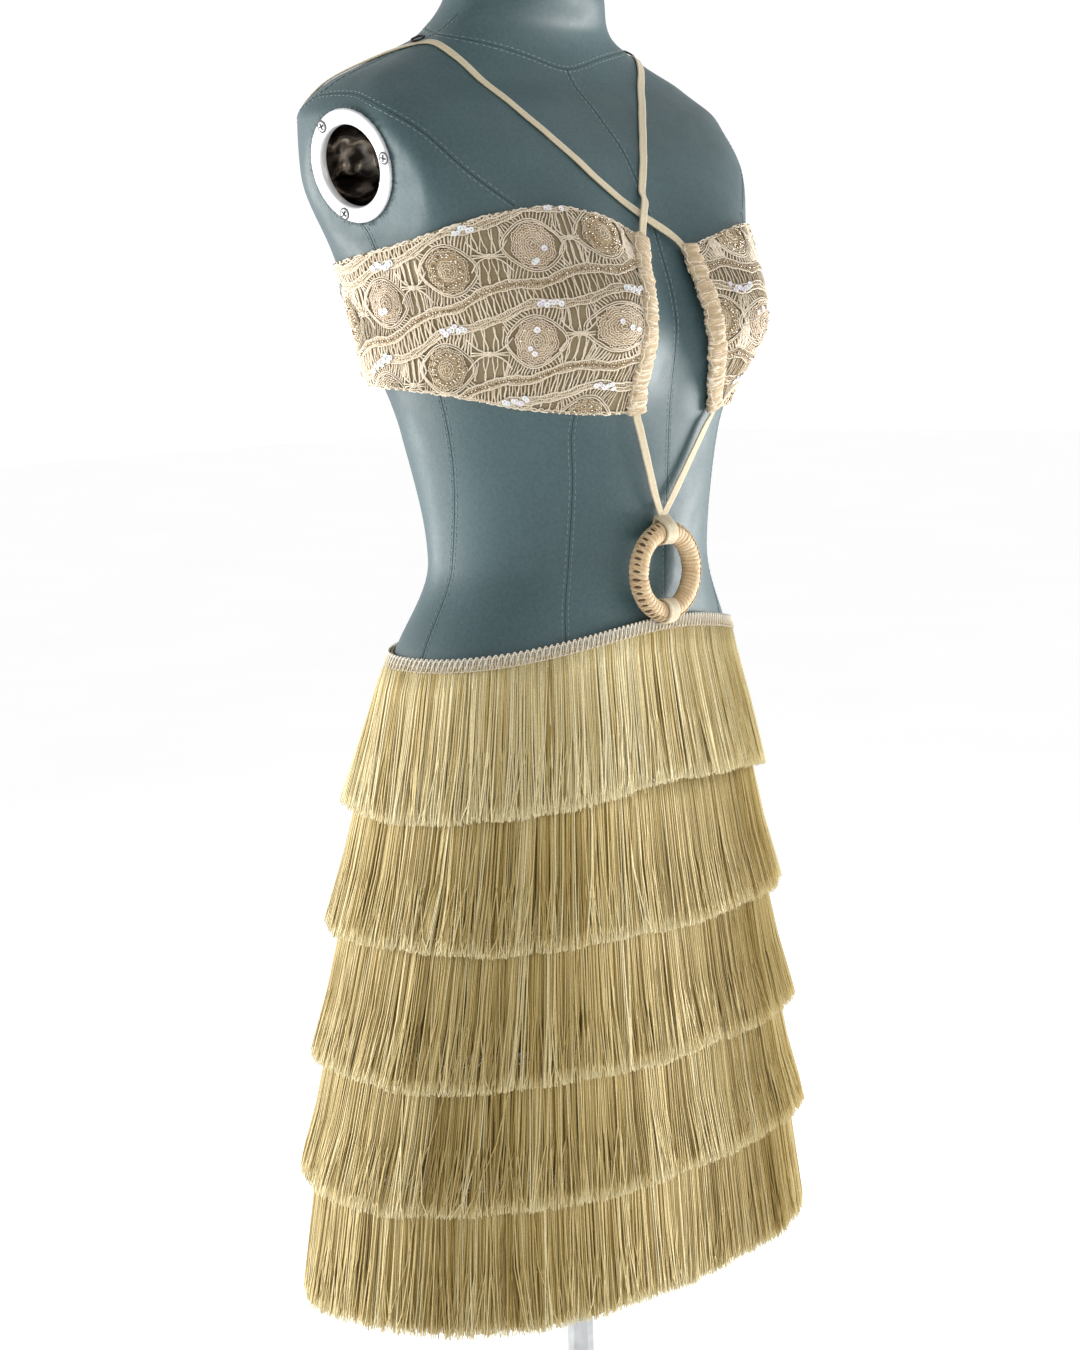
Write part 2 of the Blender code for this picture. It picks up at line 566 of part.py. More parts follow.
PANEL_START = 2 * CASING["half_wide"] + 0.0012
wings = {}
for side, sign in SIDE.items():
    places = wing_grid(side, BAND_COLUMNS, BAND_ROWS, PANEL_START)
    inner = settled([[cup_point(side, a, r) for a, r in row] for row in places], FORM_TREE, 0.0009)
    normals = grid_normals(inner, sign)
    outer = [[p + n * LINING_WALL for p, n in zip(pr, nr)] for pr, nr in zip(inner, normals)]
    add_shell("bandeau_lining_" + side, outer, LINING_WALL, lining_cloth, Vector((sign, 0, 0)), split=True)
    wings[side] = (outer, normals)

    # Medallions and the windows of the webs between them, in column and row units.
    spots, windows = [], []
    for row, degrees_list in MEDALLION_ANGLES.items():
        for i, degrees in enumerate(degrees_list):
            rise = ROW_RISE(degrees) - row * ROW_DROP
            spots.append((degrees, rise))
            if i + 1 < len(degrees_list):
                half = (degrees + degrees_list[i + 1]) / 2
                centre = ROW_RISE(half) - row * ROW_DROP
                for sa in (-1, 1):
                    for sr in (-1, 1):
                        windows.append([(half + sa * 0.7, centre + sr * 0.0030),
                                        (half + sa * 3.0, centre + sr * 0.0100),
                                        (half + sa * 0.5, centre + sr * 0.0125)])
    verts = [(c, r) for r in range(BAND_ROWS + 1) for c in range(BAND_COLUMNS + 1)]
    n = BAND_COLUMNS + 1
    edges = [(r * n + c, r * n + c + 1) for r in range(BAND_ROWS + 1) for c in range(BAND_COLUMNS)]
    edges += [(r * n + c, r * n + n + c) for r in range(BAND_ROWS) for c in range(n)]
    edges += [(r * n + c, r * n + n + c + 1) for r in range(BAND_ROWS) for c in range(BAND_COLUMNS)]
    holes = []
    for window in windows:
        loop = [wing_place(side, d, r) for d, r in window]
        if all(0.35 < s < BAND_COLUMNS - 0.3 and 0.35 < t < BAND_ROWS - 0.35 for s, t in loop):
            k = len(verts)
            verts += loop
            edges += [(k + i, k + (i + 1) % 3) for i in range(3)]
            holes.append(loop)
    hexagons = []
    for degrees, rise in spots:
        turns = [math.pi * (i + 0.5) / 3 for i in range(6)]
        hexagon = [wing_place(side, degrees + 60 * MEDALLION_RADIUS / 0.155 * math.cos(q),
                              rise + MEDALLION_RADIUS * math.sin(q)) for q in turns]
        if all(0.15 < s < BAND_COLUMNS - 0.15 and 0.15 < t < BAND_ROWS - 0.15 for s, t in hexagon):
            verts += hexagon
            hexagons.append(hexagon)
    flat, _, triangles, _, _, _ = delaunay_2d_cdt([Vector(v) for v in verts], edges, [], 0, 1e-4)

    def inside(loop, s, t):
        hit = False
        for i, (xa, ya) in enumerate(loop):
            xb, yb = loop[i - 1]
            if (ya > t) != (yb > t) and s < (xb - xa) * (t - ya) / (yb - ya) + xa:
                hit = not hit
        return hit

    kept = []
    for tri in triangles:
        s = sum(flat[k][0] for k in tri) / 3
        t = sum(flat[k][1] for k in tri) / 3
        if not any(inside(loop, s, t) for loop in holes):
            kept.append(tuple(tri))
    used = sorted({k for tri in kept for k in tri})
    index = {k: i for i, k in enumerate(used)}
    under, over = [], []
    for k in used:
        s, t = flat[k]
        base, n_at = between(outer, s, t), unit(between(normals, s, t))
        raised = any(inside([(hs + (s - hs) * 0.02, ht + (t - ht) * 0.02) for hs, ht in hexagon], s, t)
                     for hexagon in hexagons)
        under.append(base + n_at * LACE_GAP)
        over.append(base + n_at * (LACE_GAP + LACE_WALL + (MEDALLION_RAISE if raised else 0.0)))
    faces, rim = [], {}
    m = len(used)
    for tri in kept:
        a, b, c = (index[k] for k in tri)
        faces += [(a, b, c), (m + c, m + b, m + a)]
        for e in ((a, b), (b, c), (c, a)):
            rim[e] = rim.get(e, 0) + 1
    for (a, b) in rim:
        if (b, a) not in rim:
            faces.append((b, a, m + a, m + b))
    add_closed("bandeau_lace_" + side, over + under, faces, lace_yarn)


# Flat bands: a section carried along stations, each with its place and two directions.
def stations_mesh(stations, shape, hole=None):
    """Closed body from a section's corner list carried along stations; a hole makes a tube."""
    rings = [[p + w * a + n * b for a, b in shape] for p, w, n in stations]
    if hole is None:
        return stack(rings)
    return tube_mesh(rings, [[p + w * a + n * b for a, b in hole] for p, w, n in stations])


def frames(path, normals):
    """Stations with the width direction square to the path and to the given normals."""
    out = []
    for i, p in enumerate(path):
        along = unit(path[min(i + 1, len(path) - 1)] - path[max(i - 1, 0)])
        wide = unit(along.cross(normals[i]))
        out.append((p, wide, unit(wide.cross(along))))
    return out


def form_at(x, rise, out):
    """Point a little outside the form's front at a distance from the middle."""
    width, front, _, power, _ = (c(rise) for c in FORM_CURVES)
    return form_point(math.atan2(x, front * (1 - (abs(x) / width) ** power) ** (1 / power)), rise, out)


def through(points, count):
    """Smooth line through points, cut into equal counts between them."""
    ends = [points[0] * 2 - points[1]] + list(points) + [points[-1] * 2 - points[-2]]
    path = []
    for a, b, c, d in zip(ends, ends[1:], ends[2:], ends[3:]):
        for k in range(count):
            t = k / count
            path.append((b * 2 + (c - a) * t + (a * 2 - b * 5 + c * 4 - d) * t * t
                         + (b * 3 - a - c * 3 + d) * t ** 3) / 2)
    return path + [points[-1]]


def relaxed(path, lift, rounds):
    """Pull a path taut between its ends while it stays off the form."""
    path = [p.copy() for p in path]
    for _ in range(rounds):
        fresh = [p.copy() for p in path]
        for i in range(1, len(path) - 1):
            p = (path[i - 1] + path[i + 1]) / 2
            spot, normal, _, _ = FORM_TREE.find_nearest(p)
            if (p - spot).dot(normal) < lift:
                p = spot + normal * lift
            fresh[i] = p
        path = fresh
    return path


def cleared(stations, over=None):
    """Lift stations until a strap's under side stays off the form and off a strap below."""
    out = [list(station) for station in stations]
    for _ in range(14):
        for k in range(len(out) - 1):
            (p, w, n), (q, v, m) = out[k], out[k + 1]
            lack = 0.0
            for s in (0.0, 0.25, 0.5, 0.75, 1.0):
                for a in (-1, -0.5, 0, 0.5, 1):
                    low = (p + w * (a * STRAP["half_wide"]) - n * STRAP["half_thick"]) * (1 - s)
                    low += (q + v * (a * STRAP["half_wide"]) - m * STRAP["half_thick"]) * s
                    spot, normal, _, _ = FORM_TREE.find_nearest(low)
                    lack = max(lack, 0.0006 - (low - spot).dot(normal))
                    if over is not None:
                        spot, normal, _, far = over.find_nearest(low)
                        if far < 0.004:
                            lack = max(lack, 0.0006 - (low - spot).dot(normal))
            if lack > 0:
                for j in (k, k + 1):
                    out[j][0] = out[j][0] + out[j][2] * (lack * 0.7)
    return [tuple(station) for station in out]


def line(a, b, n):
    return [a + (b - a) * (i / n) for i in range(n)]


hw, ht = STRAP["half_wide"], STRAP["half_thick"]
STRAP_SHAPE = [(-hw, -ht), (hw, -ht), (hw, ht), (-hw, ht)]
cw, ct = CASING["half_wide"], CASING["half_thick"]
CASING_SHAPE = [(-cw, -0.5 * ct), (-0.75 * cw, -ct), (0.75 * cw, -ct), (cw, -0.5 * ct),
                (cw, 0.5 * ct), (0.75 * cw, ct), (-0.75 * cw, ct), (-cw, 0.5 * ct)]
iw, it = CASING["hole_wide"], CASING["hole_thick"]
CASING_HOLE = [(-iw, -0.5 * it), (-0.88 * iw, -it), (0.88 * iw, -it), (iw, -0.5 * it),
               (iw, 0.5 * it), (0.88 * iw, it), (-0.88 * iw, it), (-iw, 0.5 * it)]
strap_trees = {}
LIFT = ht + 0.0006
for side, sign in (("left", 1.0), ("right", -1.0)):
    # The casing follows the wing's edge.
    tube, tube_normals = [], []
    for k in range(9):
        t = k / 8
        rise = BAND_LOW(12) + 0.0005 + t * (EDGE[side][-1][0] - 0.002 - BAND_LOW(12))
        a = panel_angle(side, rise, cw)
        spot = cup_point(side, a, rise)
        far, near = (cup_point(side, panel_angle(side, rise, d), rise) for d in (2 * cw, 0.0))
        tall = cup_point(side, a, rise + 0.004) - cup_point(side, a, rise - 0.004)
        normal = unit((far - near).cross(tall)) * sign
        tube.append(spot + normal * (ct + 0.0002))
        tube_normals.append(normal)
    casing = frames(tube, tube_normals)
    add_closed("casing_" + side, *stations_mesh(casing, CASING_SHAPE, CASING_HOLE), lace_yarn)

    # The strap: hoop to casing, through it, over the other shoulder and down the back.
    start = Vector((HOOP["x"] + 0.003 + sign * 0.0045, HOOP["y"] + 0.0035,
                    WAIST_Z + HOOP["rise"] + HOOP["radius"] + HOOP["tube"] + 0.0086))
    lower = line(start, tube[0], 5)
    ridge_xy = RIDGE["left" if side == "right" else "right"]
    hit, ridge_normal, _, _ = FORM_TREE.ray_cast(Vector((ridge_xy[0], ridge_xy[1], 2.0)), Vector((0, 0, -1)))
    ridge = hit + ridge_normal * LIFT
    back_angle = math.radians(STRAP_BACK_ANGLE) * -sign
    end_rise = BAND_HIGH[side](STRAP_BACK_ANGLE) + 0.0026
    end = form_point(back_angle, end_rise, CLOTH_GAP + LINING_WALL)
    chest = [form_at(x, rise, LIFT) for x, rise in STRAP_CHEST[side]]
    front = relaxed(through([tube[-1]] + chest + [ridge], 4), LIFT, 8)
    back = relaxed(line(ridge, end, 13) + [end], LIFT, 60)
    path = lower + tube + front[1:] + back[1:]
    normals = []
    for i, p in enumerate(path):
        spot, normal, _, _ = FORM_TREE.find_nearest(p)
        normals.append(normal)
    count = len(lower)
    for k in range(count):
        normals[k] = unit(Vector((0, -1, 0)) * (1 - k / count) + tube_normals[0] * (k / count))
    for k in range(len(tube)):
        normals[count + k] = tube_normals[k]
    for _ in range(3):
        normals = [normals[0]] + [unit(normals[k - 1] + normals[k] * 2 + normals[k + 1])
                                  for k in range(1, len(normals) - 1)] + [normals[-1]]
    for k in range(len(tube)):
        normals[count + k] = tube_normals[k]
    stations = frames(path, normals)
    first = count + len(tube)
    stations[first:] = cleared(stations[first:], strap_trees.get("left"))
    for k in range(len(tube)):
        stations[count + k] = casing[k]
    points, faces = stations_mesh(stations, STRAP_SHAPE)
    add_closed("strap_%s_cup" % side, points, faces, strap_cloth)
    strap_trees[side] = BVHTree.FromPolygons([tuple(p) for p in points], outward(points, faces))

    # The slider: an oval metal ring that lies over the strap at the top of the shoulder.
    place, wide, normal = stations[count + len(tube) + len(front) - 2]
    wire = 0.0009
    bpy.ops.mesh.primitive_torus_add(major_segments=14, minor_segments=4, major_radius=0.0062,
                                     minor_radius=wire)
    slider = settle(bpy.context.object, "slider_" + side + "_strap", dark_metal,
                    place + normal * (ht + 0.0004 + wire), normal)
    slider.rotation_euler = Matrix((wide, normal.cross(wide), normal)).transposed().to_euler()
    slider.scale.y = 0.84

# The hoop: a round ring in front of the belly.
centre = Vector((HOOP["x"], HOOP["y"], WAIST_Z + HOOP["rise"]))
bpy.ops.mesh.primitive_torus_add(major_segments=28, minor_segments=8, major_radius=HOOP["radius"],
                                 minor_radius=HOOP["tube"])
settle(bpy.context.object, "hoop_ring", hoop_wrap, centre, Vector((0, -1, 0)))

# Two flat loops hold it: one gathers the straps above, one is sewn to the waist below.
for name, way, wide_far, wide_near, reach in (("hoop_loop_top", 1, 0.0085, 0.0062, 0.0052),
                                              ("hoop_loop_bottom", -1, 0.0058, 0.0058, 0.0025)):
    hub = centre + Vector((0, 0, way * HOOP["radius"]))
    tip = hub + Vector((0.002 if way > 0 else 0, 0.0035 if way > 0 else 0.0050, way * (HOOP["tube"] + reach)))
    loop_in, loop_out, widths = [], [], []
    gap, thick = 0.0008, 0.0014
    rad = HOOP["tube"] + gap
    for k in range(11):
        t = math.radians((-140 if way > 0 else -162) * (1 - k / 5))
        spoke = Vector((0, -math.sin(t), -way * math.cos(t)))
        loop_in.append(hub + spoke * rad)
        loop_out.append(hub + spoke * (rad + thick))
        widths.append(wide_near)
    loop_in.append(tip - Vector((0, 0, way * 0.0016)))
    loop_out.append(tip)
    widths.append(wide_far)
    points, faces = [], []
    for k, (a, b, w) in enumerate(zip(loop_in, loop_out, widths)):
        # The loop's sides follow the hoop round.
        sag = Vector((0, 0, -way * (HOOP["radius"] - math.sqrt(HOOP["radius"] ** 2 - w * w)))) * (k < 11)
        points += [a - Vector((w, 0, 0)) + sag, a, a + Vector((w, 0, 0)) + sag,
                   b + Vector((w, 0, 0)) + sag, b, b - Vector((w, 0, 0)) + sag]
    n = len(widths)
    for k in range(n):
        p, q = k * 6, ((k + 1) % n) * 6
        for i in range(6):
            j = (i + 1) % 6
            faces.append((p + i, p + j, q + j, q + i))
    add_closed(name, points, faces, strap_cloth)
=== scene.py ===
# %% [markdown]
# # A crochet and fringe mini dress on a dress form
#
# This lesson dresses a plain model of the dress. The model comes in as a fixed frame, and each of its
# plain cloth solids is replaced by a piece with the real yarn, strands and stitches.

import itertools
import json
import math

import bmesh
import bpy
import numpy as np
from mathutils import Matrix, Vector
from mathutils.bvhtree import BVHTree

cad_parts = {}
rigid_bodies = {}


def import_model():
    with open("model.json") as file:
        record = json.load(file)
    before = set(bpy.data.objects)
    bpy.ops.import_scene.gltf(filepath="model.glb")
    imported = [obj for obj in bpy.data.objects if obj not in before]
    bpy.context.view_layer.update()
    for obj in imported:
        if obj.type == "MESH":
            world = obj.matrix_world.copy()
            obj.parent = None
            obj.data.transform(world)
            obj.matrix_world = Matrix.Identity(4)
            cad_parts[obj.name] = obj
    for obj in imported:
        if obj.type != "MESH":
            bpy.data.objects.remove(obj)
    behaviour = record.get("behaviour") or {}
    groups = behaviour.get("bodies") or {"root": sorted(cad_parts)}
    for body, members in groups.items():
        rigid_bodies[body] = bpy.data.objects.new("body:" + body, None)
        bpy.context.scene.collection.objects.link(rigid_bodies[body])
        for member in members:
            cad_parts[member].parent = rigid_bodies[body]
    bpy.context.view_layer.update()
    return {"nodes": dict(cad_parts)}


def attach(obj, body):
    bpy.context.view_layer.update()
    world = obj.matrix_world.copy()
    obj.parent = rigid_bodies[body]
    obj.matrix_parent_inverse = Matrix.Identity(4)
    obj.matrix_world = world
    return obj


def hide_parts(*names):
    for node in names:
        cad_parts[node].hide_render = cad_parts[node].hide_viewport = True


for old in list(bpy.data.objects):
    bpy.data.objects.remove(old, do_unlink=True)
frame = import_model()
NODES = frame["nodes"]
rng = np.random.default_rng(5)

# %% [markdown]
# ## Sizes
#
# Heights called rise are measured from the waist, and angles from the middle of the front, in metres and
# degrees. The form's rows hold rise, half width, front depth, back depth, the power of the section's oval and
# its middle. The skirt's rows hold rise, half width, front depth, back depth and middle. A tier's row holds
# its top, its length, and how far it stands off at its middle and at its tip. The first tier's top is the
# skirt's own waist edge, written `None`. The bandeau's rows hold the angle, its lower edge, and its upper
# edge on the right and on the left.

# %%
WAIST_Z = 1.04
CLOTH_GAP = 0.0010
FORM = np.array([
    (-0.300, 0.163, 0.098, 0.105, 2.3, 0.000),
    (-0.200, 0.170, 0.108, 0.122, 2.3, 0.000),
    (-0.080, 0.154, 0.116, 0.091, 2.3, 0.000),
    (0.000, 0.121, 0.119, 0.063, 2.2, 0.000),
    (0.100, 0.136, 0.126, 0.083, 2.2, 0.000),
    (0.170, 0.153, 0.127, 0.111, 2.3, 0.000),
    (0.240, 0.174, 0.116, 0.117, 2.8, 0.000),
    (0.300, 0.190, 0.095, 0.122, 3.4, 0.002),
    (0.340, 0.1885, 0.067, 0.118, 3.5, 0.006),
    (0.365, 0.169, 0.049, 0.108, 2.9, 0.011),
    (0.385, 0.130, 0.041, 0.093, 2.3, 0.012),
    (0.405, 0.088, 0.037, 0.081, 2.1, 0.008),
    (0.430, 0.070, 0.046, 0.068, 2.0, 0.003),
    (0.470, 0.058, 0.048, 0.056, 2.0, 0.000),
    (0.520, 0.059, 0.058, 0.047, 2.0, 0.000),
])
NECK_TOP = 0.500
BUST = {"out": 0.0448, "half_gap": 0.0882, "rise": 0.1776, "across": 0.0598, "up": 0.070, "down": 0.050}
PLATE = {"x": 0.1825, "y": 0.0165, "rise": 0.3005, "lean": math.radians(12.0), "radius": 0.0425,
         "hole": 0.0310, "depth": 0.036, "thick": 0.0020}
SKIRT = np.array([
    (-0.475, 0.2200, 0.1368, 0.1468, 0.0115),
    (-0.390, 0.2070, 0.1335, 0.1425, 0.0085),
    (-0.290, 0.1900, 0.1292, 0.1368, 0.0050),
    (-0.200, 0.1745, 0.1250, 0.1280, 0.0020),
    (-0.130, 0.1650, 0.1212, 0.1100, 0.0000),
    (-0.093, 0.1584, 0.1180, 0.0970, 0.0000),
])
SKIRT_POWER = 2.3
SKIRT_WALL = 0.0015
SKIRT_TOP = {"front": -0.047, "side": -0.070, "back": -0.062}
TIERS = [
    (None, 0.122, 0.0032, 0.0092),
    (-0.165, 0.122, 0.0032, 0.0110),
    (-0.268, 0.122, 0.0032, 0.0110),
    (-0.363, 0.121, 0.0032, 0.0115),
    (-0.458, 0.121, 0.0030, 0.0060),
]
BAND = np.array([
    (0, 0.1120, 0.2310, 0.2290),
    (12, 0.1115, 0.2395, 0.2330),
    (20, 0.1112, 0.2485, 0.2385),
    (35, 0.1118, 0.2600, 0.2475),
    (46, 0.1145, 0.2640, 0.2520),
    (56, 0.1180, 0.2615, 0.2520),
    (66, 0.1235, 0.2545, 0.2490),
    (78, 0.1300, 0.2450, 0.2430),
    (92, 0.1345, 0.2380, 0.2380),
    (112, 0.1380, 0.2320, 0.2320),
    (145, 0.1420, 0.2280, 0.2280),
    (180, 0.1440, 0.2260, 0.2260),
])
EDGE = {
    "right": np.array([(0.112, 0.0335), (0.145, 0.0410), (0.180, 0.0470), (0.215, 0.0360), (0.242, 0.0185)]),
    "left": np.array([(0.112, 0.0450), (0.145, 0.0320), (0.180, 0.0215), (0.215, 0.0180), (0.236, 0.0185)]),
}
EDGE_OFF = {"right": 0.0070, "left": 0.0045}
SIDE = {"right": -1.0, "left": 1.0}
LINING_WALL = 0.0012
MEDALLION_ROW = np.array([(0, 0.2440), (16, 0.2440), (33, 0.2430), (52, 0.2360), (72, 0.2200), (91, 0.2000),
                          (112, 0.1880), (145, 0.1850), (180, 0.1850)])
ROW_DROP = 0.0665
MEDALLION_ANGLES = [
    (14, 33, 52, 71, 91, 112, 134, 157),
    (16, 35, 55, 76, 96, 118, 140, 162),
    (38, 60, 84, 108, 134, 158),
]
MEDALLION_KINDS = [
    ("plain", "beaded", "plain", "beaded", "plain", "beaded", "plain", "beaded"),
    ("beaded", "eye", "plain", "beaded", "plain", "beaded", "plain", "beaded"),
    ("beaded", "plain", "beaded", "plain", "beaded", "plain"),
]
UPPER_BAND, BEADED_BAND, TOP_BAND, TOP_LADDER = 0.0056, 0.0064, 0.0060, 0.0070
CASING = {"half_wide": 0.0070, "half_thick": 0.0028}
PANEL_START = 2 * CASING["half_wide"] + 0.0012
HOOP = {"x": -0.0125, "y": -0.1300, "rise": -0.0108, "radius": 0.0305, "tube": 0.0075}
HUB = np.array([HOOP["x"], HOOP["y"], WAIST_Z + HOOP["rise"]])
FULL_TURN = 2 * math.pi

# %% [markdown]
# ## Curves and surfaces
#
# `table_curve` runs smoothly through a table without overshooting it, and everything else is read from such
# curves.


# %%
def table_curve(rows, column):
    """Smooth curve through one column of a table, for a number or an array."""
    x, y = rows[:, 0], rows[:, column]
    h, d = np.diff(x), np.diff(y) / np.diff(x)
    m = np.zeros(len(x))
    m[0], m[-1] = d[0], d[-1]
    for i in range(1, len(x) - 1):
        if d[i - 1] * d[i] > 0:
            a, b = 2 * h[i] + h[i - 1], h[i] + 2 * h[i - 1]
            m[i] = (a + b) / (a / d[i - 1] + b / d[i])

    def at(t):
        t = np.clip(t, x[0], x[-1])
        i = np.minimum(np.searchsorted(x, t, side="right") - 1, len(x) - 2)
        s = (t - x[i]) / h[i]
        return ((1 + 2 * s) * (1 - s) ** 2 * y[i] + s * (1 - s) ** 2 * h[i] * m[i]
                + s * s * (3 - 2 * s) * y[i + 1] + s * s * (s - 1) * h[i] * m[i + 1])

    return at


FORM_CURVES = [table_curve(FORM, c) for c in (1, 2, 3, 4, 5)]
BAND_LOW = table_curve(BAND, 1)
BAND_HIGH = {"right": table_curve(BAND, 2), "left": table_curve(BAND, 3)}
EDGE_CURVES = {name: table_curve(EDGE[name], 1) for name in EDGE}
ROW_RISE = table_curve(MEDALLION_ROW, 1)


def ease(t):
    """A smooth step from 0 to 1."""
    t = np.clip(t, 0, 1)
    return t * t * (3 - 2 * t)


def section(angle, half_width, front, back, power):
    """Points of a level superellipse; angle 0 is the front, 90 degrees the wearer's left."""
    s, c = np.sin(angle), np.cos(angle)
    depth = np.where(c > 0, front, back)
    r = ((np.abs(s) / half_width) ** power + (np.abs(c) / depth) ** power) ** (-1 / power)
    return r * s, -r * c


def form_points(angle, rise, out=0.0):
    """Points of the dress form's skin, or of cloth lying a little outside it."""
    angle, rise = np.broadcast_arrays(np.asarray(angle, float), np.asarray(rise, float))
    width, front, back, power, middle = (c(rise) for c in FORM_CURVES)
    x, y = section(angle, width + out, front + out, back + out, power)
    spread = np.where(rise > BUST["rise"], BUST["up"], BUST["down"])
    bump = sum(np.exp(-(((x + k * BUST["half_gap"]) / BUST["across"]) ** 2)) for k in (-1, 1))
    bump = BUST["out"] * bump * np.exp(-(((rise - BUST["rise"]) / spread) ** 2))
    y = y + middle - bump * np.sqrt(np.maximum(np.cos(angle), 0))
    above = np.maximum(rise - PLATE["rise"], -1.1 * PLATE["radius"])
    flat = PLATE["x"] + above * math.tan(PLATE["lean"]) + out
    x = np.copysign(np.minimum(np.abs(x), flat), x)
    return np.stack([x, y, WAIST_Z + rise], -1)


def cup_points(side, degrees, rise, out=0.0):
    """Points of a wing's inside face; the angle is counted from the front to the back seam."""
    degrees, rise = np.broadcast_arrays(np.asarray(degrees, float), np.asarray(rise, float))
    sign, angle = SIDE[side], np.radians(degrees)
    p = form_points(sign * angle, rise, CLOTH_GAP)
    ahead = np.where(np.cos(angle) > 0, np.maximum(0, (BUST["half_gap"] - np.abs(p[..., 0])) / 0.060), 0)
    p[..., 1] -= EDGE_OFF[side] * np.minimum(ahead, 1.2) ** 2 * np.exp(-(((rise - 0.180) / 0.048) ** 2))
    share = (rise - BAND_LOW(degrees)) / (BAND_HIGH[side](degrees) - BAND_LOW(degrees))
    away = 0.010 * ease((degrees - 45) / 45) * (1 - 0.45 * ease((degrees - 120) / 60))
    away = away * np.maximum(0, 1 - np.maximum(share, 0)) ** 1.6 + out
    return p + np.stack([sign * np.sin(angle), -np.cos(angle), 0 * angle], -1) * away[..., None]


def panel_degrees(side, rise, away):
    """Angle at which a wing is a given distance from the middle of the front."""
    width, front, _, power, _ = (c(rise) for c in FORM_CURVES)
    x = EDGE_CURVES[side](rise) + away
    return np.degrees(np.arctan2(x, front * (1 - (x / width) ** power) ** (1 / power)))


def skirt_columns():
    """Sizes of the skirt's cloth at close steps of rise; below the hem its line runs on, less steep."""
    rises = np.arange(-0.62, -0.035, 0.0025)
    cols = []
    for c, form_c in ((1, 0), (2, 1), (3, 2), (4, None)):
        low = np.interp(rises, SKIRT[:, 0], SKIRT[:, c])
        slope = (SKIRT[0, c] - SKIRT[1, c]) / (SKIRT[1, 0] - SKIRT[0, 0]) * 0.55
        low = low + np.maximum(SKIRT[0, 0] - rises, 0) * slope
        high = 0 * rises if form_c is None else FORM_CURVES[form_c](rises) + CLOTH_GAP
        cols.append(np.where(rises <= SKIRT[-1, 0], low, high))
    return rises, cols


SKIRT_RISES, SKIRT_COLS = skirt_columns()


def skirt_points(angle, rise, out=0.0):
    """Points of the skirt's inside face, moved out by a distance."""
    width, front, back, middle = (np.interp(rise, SKIRT_RISES, c) for c in SKIRT_COLS)
    x, y = section(angle, width + out, front + out, back + out, SKIRT_POWER)
    return np.stack(np.broadcast_arrays(x, y + middle, WAIST_Z + rise), -1)


def skirt_top(angle):
    """Rise of the skirt's waist edge."""
    c = np.cos(angle)
    end = np.where(c > 0, SKIRT_TOP["front"], SKIRT_TOP["back"])
    return SKIRT_TOP["side"] + (end - SKIRT_TOP["side"]) * c * c


def tier_top(top, angle):
    """Rise of a tier's upper edge, which is the skirt's own edge for the first tier."""
    return skirt_top(angle) if top is None else np.full(len(angle), top)


def level_out(angle):
    """Level directions away from the body's middle."""
    return np.stack([np.sin(angle), -np.cos(angle), 0 * angle], -1)


# %% [markdown]
# ## Materials
#
# Each material is a small node tree. Colours are written as sRGB codes and turned linear in one place. Yarn
# reads a `tone` attribute that each piece carries: it lets every strand have its own shade.


# %%
def linear(code):
    """A colour code of six sRGB digits as linear red, green, blue and alpha."""
    raw = [int(code[i:i + 2], 16) / 255 for i in (0, 2, 4)]
    return [v / 12.92 if v <= 0.04045 else ((v + 0.055) / 1.055) ** 2.4 for v in raw] + [1.0]


